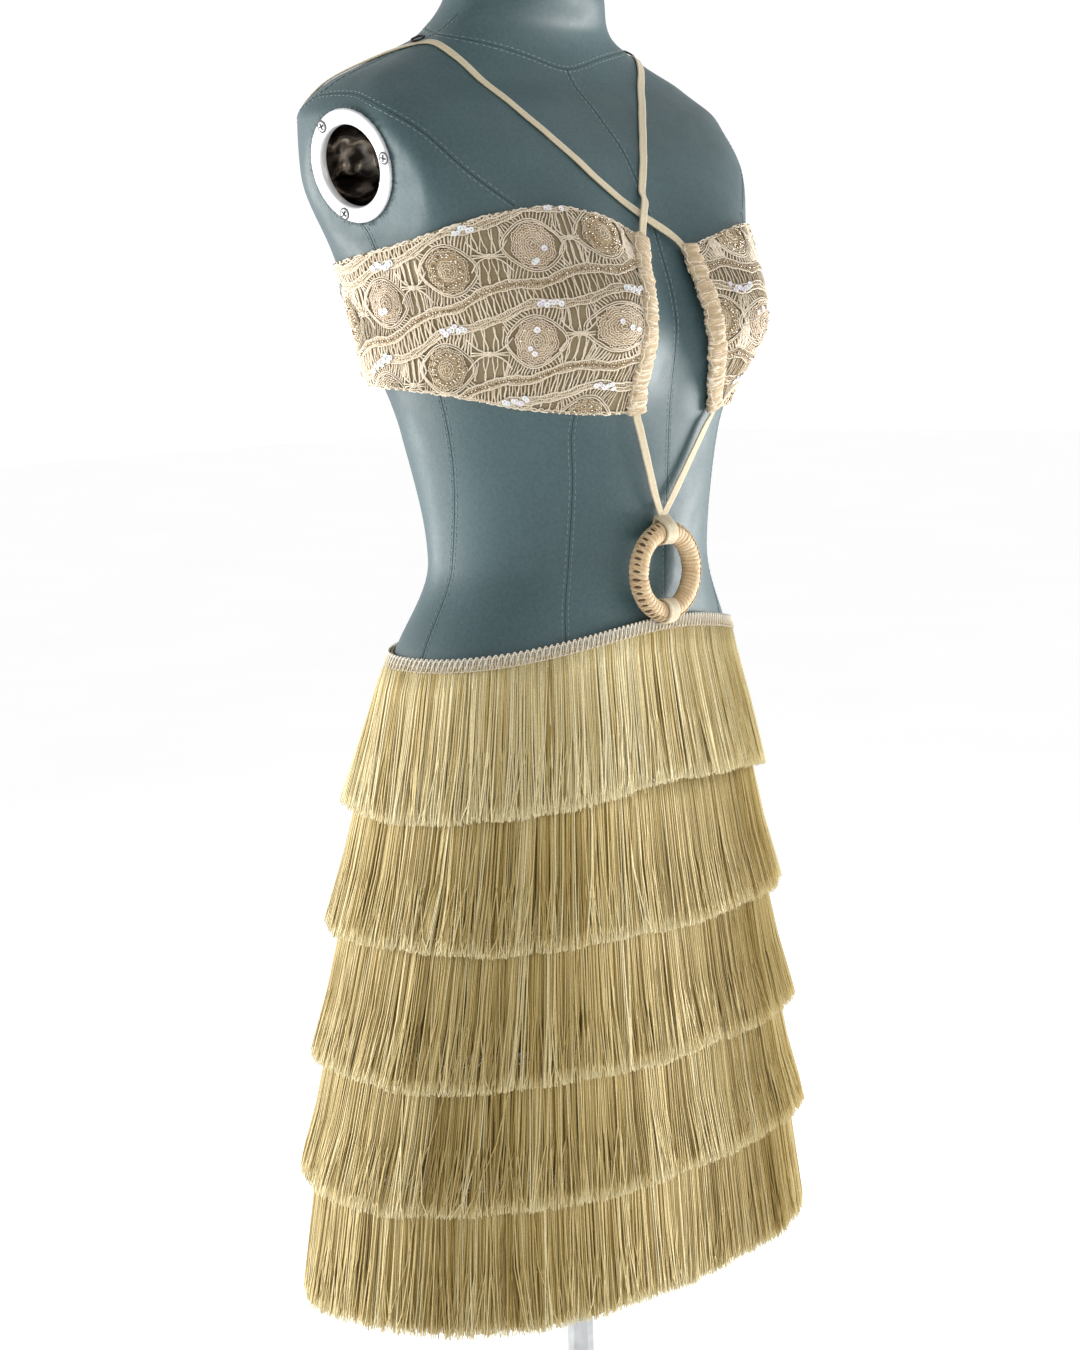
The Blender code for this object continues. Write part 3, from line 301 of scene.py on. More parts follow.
class Nodes:
    """A material's node tree with short ways to add and join nodes."""

    def __init__(self, name, rough=0.8, metal=0.0):
        self.mat = bpy.data.materials.new(name)
        self.mat.use_nodes = True
        self.tree = self.mat.node_tree
        self.shader = self.tree.nodes["Principled BSDF"]
        self.shader.inputs["Roughness"].default_value = rough
        self.shader.inputs["Metallic"].default_value = metal
        self.place = self.new("ShaderNodeTexCoord").outputs["Object"]

    def new(self, kind, **values):
        node = self.tree.nodes.new(kind)
        for key, value in values.items():
            setattr(node, key, value)
        return node

    def link(self, a, b):
        self.tree.links.new(a, b)

    def noise(self, scale, detail=2.0, stretch=None):
        node = self.new("ShaderNodeTexNoise")
        node.inputs["Scale"].default_value = scale
        node.inputs["Detail"].default_value = detail
        place = self.place
        if stretch:
            mapping = self.new("ShaderNodeMapping")
            mapping.inputs["Scale"].default_value = stretch
            self.link(place, mapping.inputs["Vector"])
            place = mapping.outputs["Vector"]
        self.link(place, node.inputs["Vector"])
        return node.outputs["Fac"]

    def ramp(self, value, stops):
        node = self.new("ShaderNodeValToRGB")
        while len(node.color_ramp.elements) < len(stops):
            node.color_ramp.elements.new(0.5)
        for element, (at, code) in zip(node.color_ramp.elements, stops):
            element.position = at
            element.color = linear(code)
        self.link(value, node.inputs["Fac"])
        return node.outputs["Color"]

    def darken(self, a, b, fac):
        node = self.new("ShaderNodeMix", data_type="RGBA", blend_type="MULTIPLY")
        sockets = [s for s in node.inputs if s.enabled]
        for socket, value in zip(sockets, (fac, a, b)):
            if hasattr(value, "links"):
                self.link(value, socket)
            else:
                socket.default_value = value
        return [s for s in node.outputs if s.enabled][0]

    def tone(self):
        return self.new("ShaderNodeAttribute", attribute_name="tone").outputs["Fac"]

    def bump(self, value, strength, distance):
        node = self.new("ShaderNodeBump")
        node.inputs["Strength"].default_value = strength
        node.inputs["Distance"].default_value = distance
        self.link(value, node.inputs["Height"])
        self.link(node.outputs["Normal"], self.shader.inputs["Normal"])

    def colour(self, value):
        self.link(value, self.shader.inputs["Base Color"])

    def rough(self, value, low, high):
        node = self.new("ShaderNodeMapRange")
        node.inputs["To Min"].default_value = low
        node.inputs["To Max"].default_value = high
        self.link(value, node.inputs["Value"])
        self.link(node.outputs["Result"], self.shader.inputs["Roughness"])


def yarn_material(name, stops, rough=0.75, sheen=0.25, grain=900.0):
    """Yarn or cloth: its colour follows the strand's tone, and a fine noise roughens it."""
    n = Nodes(name, rough)
    shade = n.ramp(n.noise(grain, 3.0), [(0.25, "C9C4BC"), (0.7, "FFFFFF")])
    n.colour(n.darken(n.ramp(n.tone(), stops), shade, 0.55))
    n.bump(n.noise(grain, 2.0), 0.35, 0.0004)
    n.shader.inputs["Sheen Weight"].default_value = sheen
    n.shader.inputs["Sheen Roughness"].default_value = 0.4
    return n.mat


fringe_mat = yarn_material(
    "fringe_yarn", [(0.0, "775E26"), (0.3, "AC9249"), (0.6, "D6C080"), (1.0, "F6EABC")], 0.65, 0.08, 700.0)
lace_mat = yarn_material(
    "crochet_yarn", [(0.0, "8C7757"), (0.3, "CCB693"), (0.6, "ECDBBF"), (0.85, "FAEFDA"), (1.0, "F4DAC6")],
    0.8, 0.15)
braid_mat = yarn_material(
    "braid_yarn", [(0.0, "7E7056"), (0.4, "CDBD9E"), (0.7, "EFE5CF"), (1.0, "FFFBF0")])
hoop_mat = yarn_material(
    "hoop_yarn", [(0.0, "4A3420"), (0.35, "BF9C74"), (0.7, "DDC196"), (1.0, "F0E0BF")], 0.6, 0.2)
strap_mat = yarn_material("strap_yarn", [(0.0, "A39372"), (0.5, "D6C8A8"), (1.0, "E6DCC3")])


def cloth_material(name, base, dark, scale):
    """Plain knitted cloth: two crossed waves make the stitches, and noise shades it."""
    n = Nodes(name, 0.9)
    waves = []
    for turn in ("Z", "DIAGONAL"):
        wave = n.new("ShaderNodeTexWave", wave_type="BANDS", bands_direction=turn)
        wave.inputs["Scale"].default_value = scale
        wave.inputs["Distortion"].default_value = 1.5
        wave.inputs["Detail"].default_value = 1.0
        n.link(n.place, wave.inputs["Vector"])
        waves.append(wave.outputs["Fac"])
    weave = n.new("ShaderNodeMath", operation="MULTIPLY")
    n.link(waves[0], weave.inputs[0])
    n.link(waves[1], weave.inputs[1])
    tint = n.ramp(n.noise(35.0), [(0.3, dark), (0.7, base)])
    n.colour(n.darken(tint, n.ramp(weave.outputs[0], [(0.0, "C8C8C8"), (0.6, "FFFFFF")]), 0.6))
    n.bump(weave.outputs[0], 0.4, 0.0004)
    n.shader.inputs["Sheen Weight"].default_value = 0.2
    return n.mat


lining_mat = cloth_material("lining_cloth", "A49474", "8F7E5E", 900.0)
skirt_mat = cloth_material("skirt_cloth", "A9935B", "8C763F", 700.0)

# The form's cover is a matt leather-like cloth with a fine grain.
n = Nodes("form_leather", 0.5)
cells = n.new("ShaderNodeTexVoronoi", feature="DISTANCE_TO_EDGE")
cells.inputs["Scale"].default_value = 520.0
n.link(n.place, cells.inputs["Vector"])
shade = n.ramp(n.noise(7.0, 3.0), [(0.3, "3F565A"), (0.7, "4B6569")])
n.colour(n.darken(shade, n.ramp(n.noise(420.0, 3.0), [(0.3, "C4C8C8"), (0.72, "FFFFFF")]), 0.6))
n.rough(n.noise(60.0), 0.42, 0.60)
n.bump(cells.outputs["Distance"], 0.35, 0.0003)
form_mat = n.mat



def metal_material(name, base, dark, rough, metal=1.0):
    """Metal with faint wear: its colour and its gloss drift a little from place to place."""
    n = Nodes(name, rough, metal)
    n.colour(n.ramp(n.noise(60.0, 4.0), [(0.35, dark), (0.62, base)]))
    n.rough(n.noise(180.0, 2.0, (1, 1, 0.2)), rough * 0.7, rough * 1.4)
    n.bump(n.noise(900.0), 0.05, 0.0001)
    return n.mat


def speckled(name, rough, scale, stops, metal=0.0):
    """A finish whose colour drifts through a few shades; its nodes can still be added to."""
    n = Nodes(name, rough, metal)
    n.colour(n.ramp(n.noise(scale), stops))
    return n


plate_mat = metal_material("plate_steel", "DADADC", "CCCCCE", 0.42, 0.4)
stand_mat = metal_material("stand_metal", "C2C4C5", "AEB0B1", 0.35)
dark_mat = metal_material("dark_metal", "5A5855", "3C3A38", 0.3)
thread_mat = speckled("seam_thread", 0.7, 300.0, [(0.3, "7C9093"), (0.7, "9DB0B1")]).mat
seam_mat = speckled("seam_line", 0.8, 300.0, [(0.3, "26373B"), (0.7, "33464A")]).mat
shadow_mat = speckled("screw_shadow", 0.6, 500.0, [(0.3, "15181A"), (0.7, "2A2E30")]).mat
bead_mat = speckled("bead", 0.15, 420.0, [(0.36, "6F5A42"), (0.48, "CDB78F"), (0.58, "F1ECE4")], 0.85).mat
# The cup is dark metal whose colour is painted with bright patches: painted reflections, which the bump bends
# into waves.
n = speckled("cup_dark_painted_reflections", 0.10, 45.0, [(0.40, "1F1C1A"), (0.52, "6E6861"), (0.62, "D8D0C6")], 1.0)
n.bump(n.noise(38.0, 1.0), 0.8, 0.006)
cup_painted_reflection_mat = n.mat
n = speckled("sequin", 0.12, 160.0, [(0.35, "E8E4F2"), (0.5, "FDF8F6"), (0.65, "E4F3F0")])
n.shader.inputs["Coat Weight"].default_value = 1.0
n.shader.inputs["Specular IOR Level"].default_value = 1.0
sequin_mat = n.mat

# %% [markdown]
# ## Mesh helpers
#
# Pieces are built from arrays, and `Yarn` gathers many thin tubes into one mesh.


# %%
def raw_mesh(name, points, quads, tris=(), tones=None, mat=None):
    """A smooth object from arrays of points and faces; tones go in its `tone` attribute."""
    mesh = bpy.data.meshes.new(name)
    points = np.asarray(points, np.float32).reshape(-1, 3)
    quads = np.asarray(quads, np.int32).reshape(-1, 4)
    tris = np.asarray(tris, np.int32).reshape(-1, 3)
    loops = np.concatenate([quads.ravel(), tris.ravel()])
    starts = np.concatenate([np.arange(len(quads)) * 4, len(quads) * 4 + np.arange(len(tris)) * 3])
    mesh.vertices.add(len(points))
    mesh.vertices.foreach_set("co", points.ravel())
    mesh.loops.add(len(loops))
    mesh.loops.foreach_set("vertex_index", loops)
    mesh.polygons.add(len(starts))
    mesh.polygons.foreach_set("loop_start", starts.astype(np.int32))
    mesh.polygons.foreach_set("use_smooth", np.full(len(starts), True))
    mesh.update(calc_edges=True)
    if tones is not None:
        layer = mesh.attributes.new("tone", "FLOAT", "POINT")
        layer.data.foreach_set("value", np.asarray(tones, np.float32).ravel())
    obj = bpy.data.objects.new(name, mesh)
    bpy.context.scene.collection.objects.link(obj)
    if mat:
        mesh.materials.append(mat)
    return obj


def bake(obj):
    """Apply an object's modifiers, and return its new mesh."""
    bpy.context.view_layer.update()
    made = bpy.data.meshes.new_from_object(obj.evaluated_get(bpy.context.evaluated_depsgraph_get()))
    obj.modifiers.clear()
    obj.data = made
    return made


def face_out(mesh):
    """Turn a closed mesh's faces outwards."""
    work = bmesh.new()
    work.from_mesh(mesh)
    bmesh.ops.recalc_face_normals(work, faces=work.faces)
    work.to_mesh(mesh)
    work.free()


def thicken(obj, wall):
    """Give a sheet its thickness, inwards from its outer face."""
    solidify = obj.modifiers.new("wall", "SOLIDIFY")
    solidify.thickness, solidify.offset = wall, -1.0


def grid_faces(rows, columns, closed=False):
    """Quads between the points of a grid; closed joins its last column to its first."""
    across = columns if closed else columns - 1
    r, c = np.meshgrid(np.arange(rows - 1), np.arange(across), indexing="ij")
    d = (c + 1) % columns
    return np.stack([r * columns + c, r * columns + d, (r + 1) * columns + d, (r + 1) * columns + c],
                    -1).reshape(-1, 4)


def unit(v):
    """Vectors brought to length 1."""
    v = np.asarray(v, float)
    return v / np.maximum(np.linalg.norm(v, axis=-1, keepdims=True), 1e-12)


class Yarn:
    """Gathers tubes of yarn, all with the same number of sides, as one mesh."""

    def __init__(self, sides=4):
        self.sides, self.points, self.quads, self.tones, self.ends, self.count = sides, [], [], [], [], 0

    def add(self, paths, normals, radius, tone, flat=1.0, turn=0.0):
        """Tubes along paths of shape (tubes, points, 3); radius and tone may vary along them."""
        paths, normals = np.asarray(paths, float), np.asarray(normals, float)
        if paths.ndim == 2:
            paths, normals = paths[None], normals[None]
        m, n, _ = paths.shape
        if n < 2 or m == 0:
            return
        along = unit(np.gradient(paths, axis=1))
        side = unit(np.cross(along, normals))
        up = np.cross(side, along)
        t = FULL_TURN * (np.arange(self.sides) + turn) / self.sides
        radius = np.broadcast_to(np.asarray(radius, float), (m, n))[:, :, None, None]
        ring = (np.cos(t)[:, None] * side[:, :, None] + flat * np.sin(t)[:, None] * up[:, :, None]) * radius
        self.points.append((paths[:, :, None] + ring).reshape(-1, 3))
        tone = np.broadcast_to(np.asarray(tone, float), (m, n))
        self.tones.append(np.repeat(tone.reshape(-1), self.sides))
        one = grid_faces(n, self.sides, True)
        step = n * self.sides
        first = self.count + np.arange(m)[:, None] * step
        self.quads.append((first[:, :, None] + one[None]).reshape(-1, 4))
        base = np.arange(self.sides)
        for cap in (base[::-1], step - self.sides + base):
            self.ends.append((first + cap[None]).reshape(-1, self.sides))
        self.count += m * step

    def build(self, name, mat):
        quads, ends = np.concatenate(self.quads), np.concatenate(self.ends)
        if self.sides == 4:
            quads, tris = np.concatenate([quads, ends]), ()
        else:
            tris = np.concatenate([ends[:, [0, k, k + 1]] for k in range(1, self.sides - 1)])
        tris = np.asarray(tris).reshape(-1, 3)
        return raw_mesh(name, np.concatenate(self.points), quads[:, ::-1], tris[:, ::-1],
                        np.concatenate(self.tones), mat)


def finish_piece(obj, slot, *replaced):
    """Attach a piece to the frame's one body and hide the model parts that it replaces; slot is not used."""
    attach(obj, "root")
    if replaced:
        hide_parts(*replaced)
    return obj


# %% [markdown]
# ## The dress form
#
# The form's skin is the same set of level sections as in the model, with closer steps. A cylinder cuts each
# of its two arm sockets.

# %%
columns = 160
rises = np.concatenate([np.linspace(-0.300, 0.300, 92), np.linspace(0.304, 0.430, 38),
                        np.linspace(0.436, 0.493, 10)])
angles = np.arange(columns) * FULL_TURN / columns
skin = form_points(angles[None], rises[:, None])
mid = np.array([0, skin[-1, :, 1].mean(), 0])
lip = []
for shrink, rise in ((0.985, 0.4975), (0.955, 0.4995), (0.90, NECK_TOP)):
    ring = (skin[-1] - mid) * [shrink, shrink, 0] + mid
    ring[:, 2] = WAIST_Z + rise
    lip.append(ring)
skin = np.concatenate([skin, lip])
rows = len(skin)
points = np.concatenate([skin.reshape(-1, 3), [skin[0].mean(0)], [skin[-1].mean(0)]])
around = np.arange(columns)
beside = (around + 1) % columns
caps = np.concatenate([np.stack([around * 0 + rows * columns, beside, around], -1),
                       np.stack([around * 0 + rows * columns + 1, around + (rows - 1) * columns,
                                 beside + (rows - 1) * columns], -1)])
form = raw_mesh("form_skin", points, grid_faces(rows, columns, True), caps, mat=form_mat)
axes, seats, cutters = {}, {}, []
for side, sign in SIDE.items():
    axes[side] = Vector((sign * math.cos(PLATE["lean"]), 0, -math.sin(PLATE["lean"])))
    seats[side] = Vector((sign * PLATE["x"], PLATE["y"], WAIST_Z + PLATE["rise"]))
    bpy.ops.mesh.primitive_cylinder_add(
        vertices=64, radius=PLATE["hole"] + 0.003, depth=PLATE["depth"] + 0.015,
        location=seats[side] - axes[side] * (0.5 * PLATE["depth"] - 0.0025),
        rotation=axes[side].to_track_quat("Z", "Y").to_euler())
    cutters.append(bpy.context.object)
    cut = form.modifiers.new("socket_" + side, "BOOLEAN")
    cut.operation, cut.solver, cut.object = "DIFFERENCE", "EXACT", cutters[-1]
bake(form).name = "form_skin"
for cutter in cutters:
    bpy.data.objects.remove(cutter, do_unlink=True)
form.data.shade_smooth()
form.data.set_sharp_from_angle(angle=math.radians(40))
finish_piece(form, "form_skin", "form_body")

# %% [markdown]
# The cover's panels meet at seams. A dark line lies in each seam, with a row of paler stitches on each side.
# A seam is a line of angles and rises, and those off the middle are the same on both sides.

# %%
MIDDLE_SEAMS = [
    [(0.3, 0.3740), (0.2, 0.30), (0.2, 0.20), (0.2, 0.10), (0.2, 0.00), (0.2, -0.10)],
    [(180, 0.405), (180, 0.30), (180, 0.20), (180, 0.10), (180, 0.00), (180, -0.10)],
]
SIDE_SEAMS = {
    "over_the_bust": [(52, 0.262), (44, 0.215), (41, 0.180), (40, 0.14), (40, 0.10), (39, 0.06),
                      (41, 0.00), (43, -0.04), (43, -0.10)],
    "side": [(96, 0.2590), (93, 0.245), (88, 0.21), (83, 0.15), (80, 0.08), (86, 0.00), (89, -0.06),
             (89, -0.12)],
    "back": [(128, 0.27), (135, 0.20), (138, 0.10), (140, 0.00), (142, -0.10)],
    "armhole_front": [(106, 0.3550), (96, 0.3540), (87, 0.3480), (74, 0.3240), (63, 0.2900), (54, 0.2650)],
    "armhole_back": [(106, 0.3550), (118, 0.340), (126, 0.310), (127, 0.280), (128, 0.270)],
    "shoulder": [(106, 0.3550), (98, 0.378), (93, 0.398), (89, 0.4150)],
}
NECK_SEAM = [(a, 0.3740 + 0.0255 * (1 - math.cos(math.radians(a))) ** 0.85) for a in range(-180, 181, 12)]
STITCH = {"every": 0.0052, "long": 0.0032, "off": 0.0024}


def smooth_line(points, step):
    """Points every step or so along a smooth line through the given ones."""
    points = np.asarray(points, float)
    ends = np.concatenate([[2 * points[0] - points[1]], points, [2 * points[-1] - points[-2]]])
    out = []
    for a, b, c, d in zip(ends, ends[1:], ends[2:], ends[3:]):
        count = max(2, int(np.linalg.norm((c - b)[:3]) / step))
        t = (np.arange(count) / count)[:, None]
        out.append((b * 2 + (c - a) * t + (a * 2 - b * 5 + c * 4 - d) * t * t
                    + (b * 3 - a - c * 3 + d) * t ** 3) / 2)
    return np.concatenate(out + [points[-1:]])


def skin_line(pairs):
    """Points and outward directions on the form along pairs of angle and rise."""
    pairs = np.asarray(pairs, float)
    scaled = smooth_line(pairs * [0.0025, 1.0], 0.003) / [0.0025, 1.0]
    a, r = np.radians(scaled[:, 0]), scaled[:, 1]
    p = form_points(a, r)
    du = form_points(a + 0.01, r) - form_points(a - 0.01, r)
    dv = form_points(a, r + 0.001) - form_points(a, r - 0.001)
    return p, unit(np.cross(du, dv))


mirrored = [[(sign * a, r) for a, r in line] for line in SIDE_SEAMS.values() for sign in SIDE.values()]
seams, stitches = Yarn(3), Yarn(3)
for pairs in MIDDLE_SEAMS + mirrored + [NECK_SEAM]:
    path, normal = skin_line(pairs)
    seams.add(path, normal, 0.00042, 0.0, 0.55)
    along = unit(np.gradient(path, axis=0))
    side_way = np.cross(along, normal)
    run = np.concatenate([[0], np.cumsum(np.linalg.norm(np.diff(path, axis=0), axis=1))])
    for way in (-1, 1):
        for start in np.arange(0.001, run[-1] - 0.004, STITCH["every"]):
            t = np.array([start, start + STITCH["long"]])
            q, m, w = (np.stack([np.interp(t, run, arr[:, k]) for k in range(3)], -1)
                       for arr in (path, normal, side_way))
            stitches.add(q + w * (way * STITCH["off"]) + m * 0.0001, m, 0.00024, 0.5, 0.8)
finish_piece(seams.build("form_seams", seam_mat), "form_skin")
finish_piece(stitches.build("form_stitches", thread_mat), "form_skin")

# %% [markdown]
# ## Arm plates
#
# Each plate is a turned profile: a rounded flat ring whose middle drops into a dark cup. Screws with a cross
# in the head hold it, and a frayed edge of the cover shows round it.


# %%
def turned(name, profile, sides, mat, place, axis, slot):
    """A profile of radius and height, turned round an axis that stands at a place."""
    mesh = bpy.data.meshes.new(name)
    mesh.from_pydata([(r, 0, z) for r, z in profile], [(k, k + 1) for k in range(len(profile) - 1)], [])
    obj = bpy.data.objects.new(name, mesh)
    bpy.context.scene.collection.objects.link(obj)
    spin = obj.modifiers.new("turn", "SCREW")
    spin.steps = spin.render_steps = sides
    spin.use_merge_vertices, spin.merge_threshold = True, 0.00001
    made = bake(obj)
    made.transform(Matrix.Translation(place) @ axis.to_track_quat("Z", "Y").to_matrix().to_4x4())
    made.materials.append(mat)
    made.shade_smooth()
    made.set_sharp_from_angle(angle=math.radians(50))
    return finish_piece(obj, slot)


def join(name, objects):
    """Make one object of several."""
    for obj in bpy.context.selected_objects:
        obj.select_set(False)
    for obj in objects:
        obj.select_set(True)
    bpy.context.view_layer.objects.active = objects[0]
    bpy.ops.object.join()
    objects[0].name = objects[0].data.name = name
    return objects[0]


hole, thick, depth = PLATE["hole"], PLATE["thick"], PLATE["depth"]
RING_PROFILE = [
    (hole - 0.0006, -0.003), (hole - 0.0004, thick - 0.0011), (hole + 0.0004, thick - 0.0003),
    (hole + 0.0016, thick), (0.0405, thick), (0.0417, thick - 0.0003), (0.0423, thick - 0.0009),
    (0.0425, 0.0002), (0.0420, 0.0), (hole + 0.0018, 0.0),
]
CUP_PROFILE = [
    (0.0, -depth + 0.002), (0.008, -depth + 0.0015), (0.0132, -depth - 0.0002), (0.0165, -0.90 * depth),
    (0.0220, -0.72 * depth), (0.0268, -0.48 * depth), (0.0295, -0.22 * depth), (hole - 0.0006, -0.003),
    (hole + 0.0010, -0.0035), (0.0285, -0.5 * depth), (0.0140, -depth - 0.0015), (0.0, -depth - 0.0015),
]
HEAD_PROFILE = [(0.0, 0.0006), (0.0016, 0.00058), (0.0028, 0.0005), (0.0035, 0.0003), (0.0037, 0.0001),
                (0.0037, -0.0001), (0.0, -0.0001)]
RIM_PROFILE = [(0.0036, 0.00005), (0.0040, 0.00015), (0.0048, 0.00005)]
FRAYS = 150
SCREW_ANGLES = (55, 175, 295)
for side, sign in SIDE.items():
    axis = axes[side]
    seat = seats[side] + axis * 0.0004
    plate = turned("arm_plate_" + side + "_ring", RING_PROFILE, 72, plate_mat, seat, axis, "plate_steel")
    bowl = turned("arm_plate_" + side + "_cup", CUP_PROFILE, 72, cup_painted_reflection_mat, seat, axis, "dark_metal")
    # A bent strip lies in the cup and catches the light.
    turn = axis.to_track_quat("Z", "Y").to_matrix()
    strip = []
    for k in range(15):
        t = k / 14
        strip.append(turn @ Vector((0.006 * math.sin(3.2 * t) - 0.002, 0.019 - 0.038 * t,
                                    -depth * (0.74 + 0.14 * math.sin(math.pi * t)))) + seat)
    band = Yarn(4)
    band.add(np.array(strip), np.array([list(axis)] * 15), 0.0022, 0.6, 0.28)
    glint = finish_piece(band.build("arm_plate_" + side + "_strip", plate_mat), "plate_steel")
    whole = join("arm_plate_" + side + "_dressed", [plate, bowl, glint])
    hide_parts("arm_plate_" + side)
    # The frayed edge of the cover round the plate.
    frayed = Yarn(3)
    across = Vector((0, 0, 1)).cross(axis).normalized()
    upright = axis.cross(across)
    for k in range(FRAYS):
        t = FULL_TURN * (k + rng.uniform(0, 1)) / FRAYS
        spoke = across * math.cos(t) + upright * math.sin(t)
        far = 0.0427 + rng.uniform(0.0006, 0.0040)
        lean = rng.uniform(-0.0020, 0.0020)
        tangent = axis.cross(spoke)
        path = [seat + spoke * 0.0423 + axis * 0.0002,
                seat + spoke * (0.5 * (0.0418 + far)) + tangent * lean * 0.4 + axis * 0.0011,
                seat + spoke * far + tangent * lean + axis * 0.0004]
        frayed.add(np.array(path), np.array([list(axis)] * 3), [[0.00030, 0.00025, 0.00012]], 0.5)
    finish_piece(frayed.build("plate_fraying_" + side, form_mat), "form_skin")
    for k, degrees in enumerate(SCREW_ANGLES):
        t = math.radians(degrees)
        spoke = across * (sign * math.cos(t)) + upright * math.sin(t)
        place = seat + axis * (thick + 0.0003) + spoke * 0.0378
        head = turned("screw_head", HEAD_PROFILE, 28, plate_mat, place, axis, "plate_steel")
        # A thin dark ring round the head is a painted shadow.
        shadow_rim = turned("screw_rim", RIM_PROFILE, 28, shadow_mat, place, axis, "dark_metal")
        # The head's cross is two short bars of painted shade.
        middle, bars = place + axis * 0.0006, []
        for quarter in (0.3 + k, 0.3 + k + math.pi / 2):
            way = across * math.cos(quarter) + upright * math.sin(quarter)
            tube = Yarn(4)
            tube.add(np.array([list(middle - way * 0.0026), list(middle + way * 0.0026)]),
                     np.array([list(axis)] * 2), 0.00085, 0.1, 0.4, 0.5)
            bars.append(finish_piece(tube.build("screw_slot", shadow_mat), "dark_metal"))
        screw = join("plate_screw_%s_%d_dressed" % (side, k + 1), [head, shadow_rim] + bars)
        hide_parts("plate_screw_%s_%d" % (side, k + 1))

# %% [markdown]
# ## The skirt's cloth
#
# The cloth under the fringe is an open surface that a Solidify modifier thickens.

# %%
def thick_sheet(name, grid, wall, mat):
    """Cloth from a grid of points on its outer face, thickened inwards."""
    obj = raw_mesh(name, grid.reshape(-1, 3), grid_faces(*grid.shape[:2]), mat=mat)
    thicken(obj, wall)
    return obj


skirts = {}
for name, start in (("skirt_front", -90), ("skirt_back", 90)):
    a = np.radians(np.linspace(start + 0.12, start + 179.88, 61))
    t = np.linspace(0, 1, 26)[:, None]
    # A fifth of the rows lie above the yoke line, the rest between it and the hem.
    top, yoke, hem = skirt_top(a)[None], -0.100, SKIRT[0, 0]
    rise = np.where(t < 0.2, top + (yoke - top) * t / 0.2, yoke + (hem - yoke) * (t - 0.2) / 0.8)
    grid = skirt_points(a[None] + 0 * rise, rise, SKIRT_WALL)
    skirts[name] = thick_sheet(name + "_cloth", grid[::-1], SKIRT_WALL, skirt_mat)
    finish_piece(skirts[name], "skirt_cloth", name)

# %% [markdown]
# ## Fringe
#
# Each tier is about three thousand thin strands. A strand hangs from its braid, and its tip is drawn towards
# the middle of its own small lock, so the fringe breaks into locks that cross each other a little.

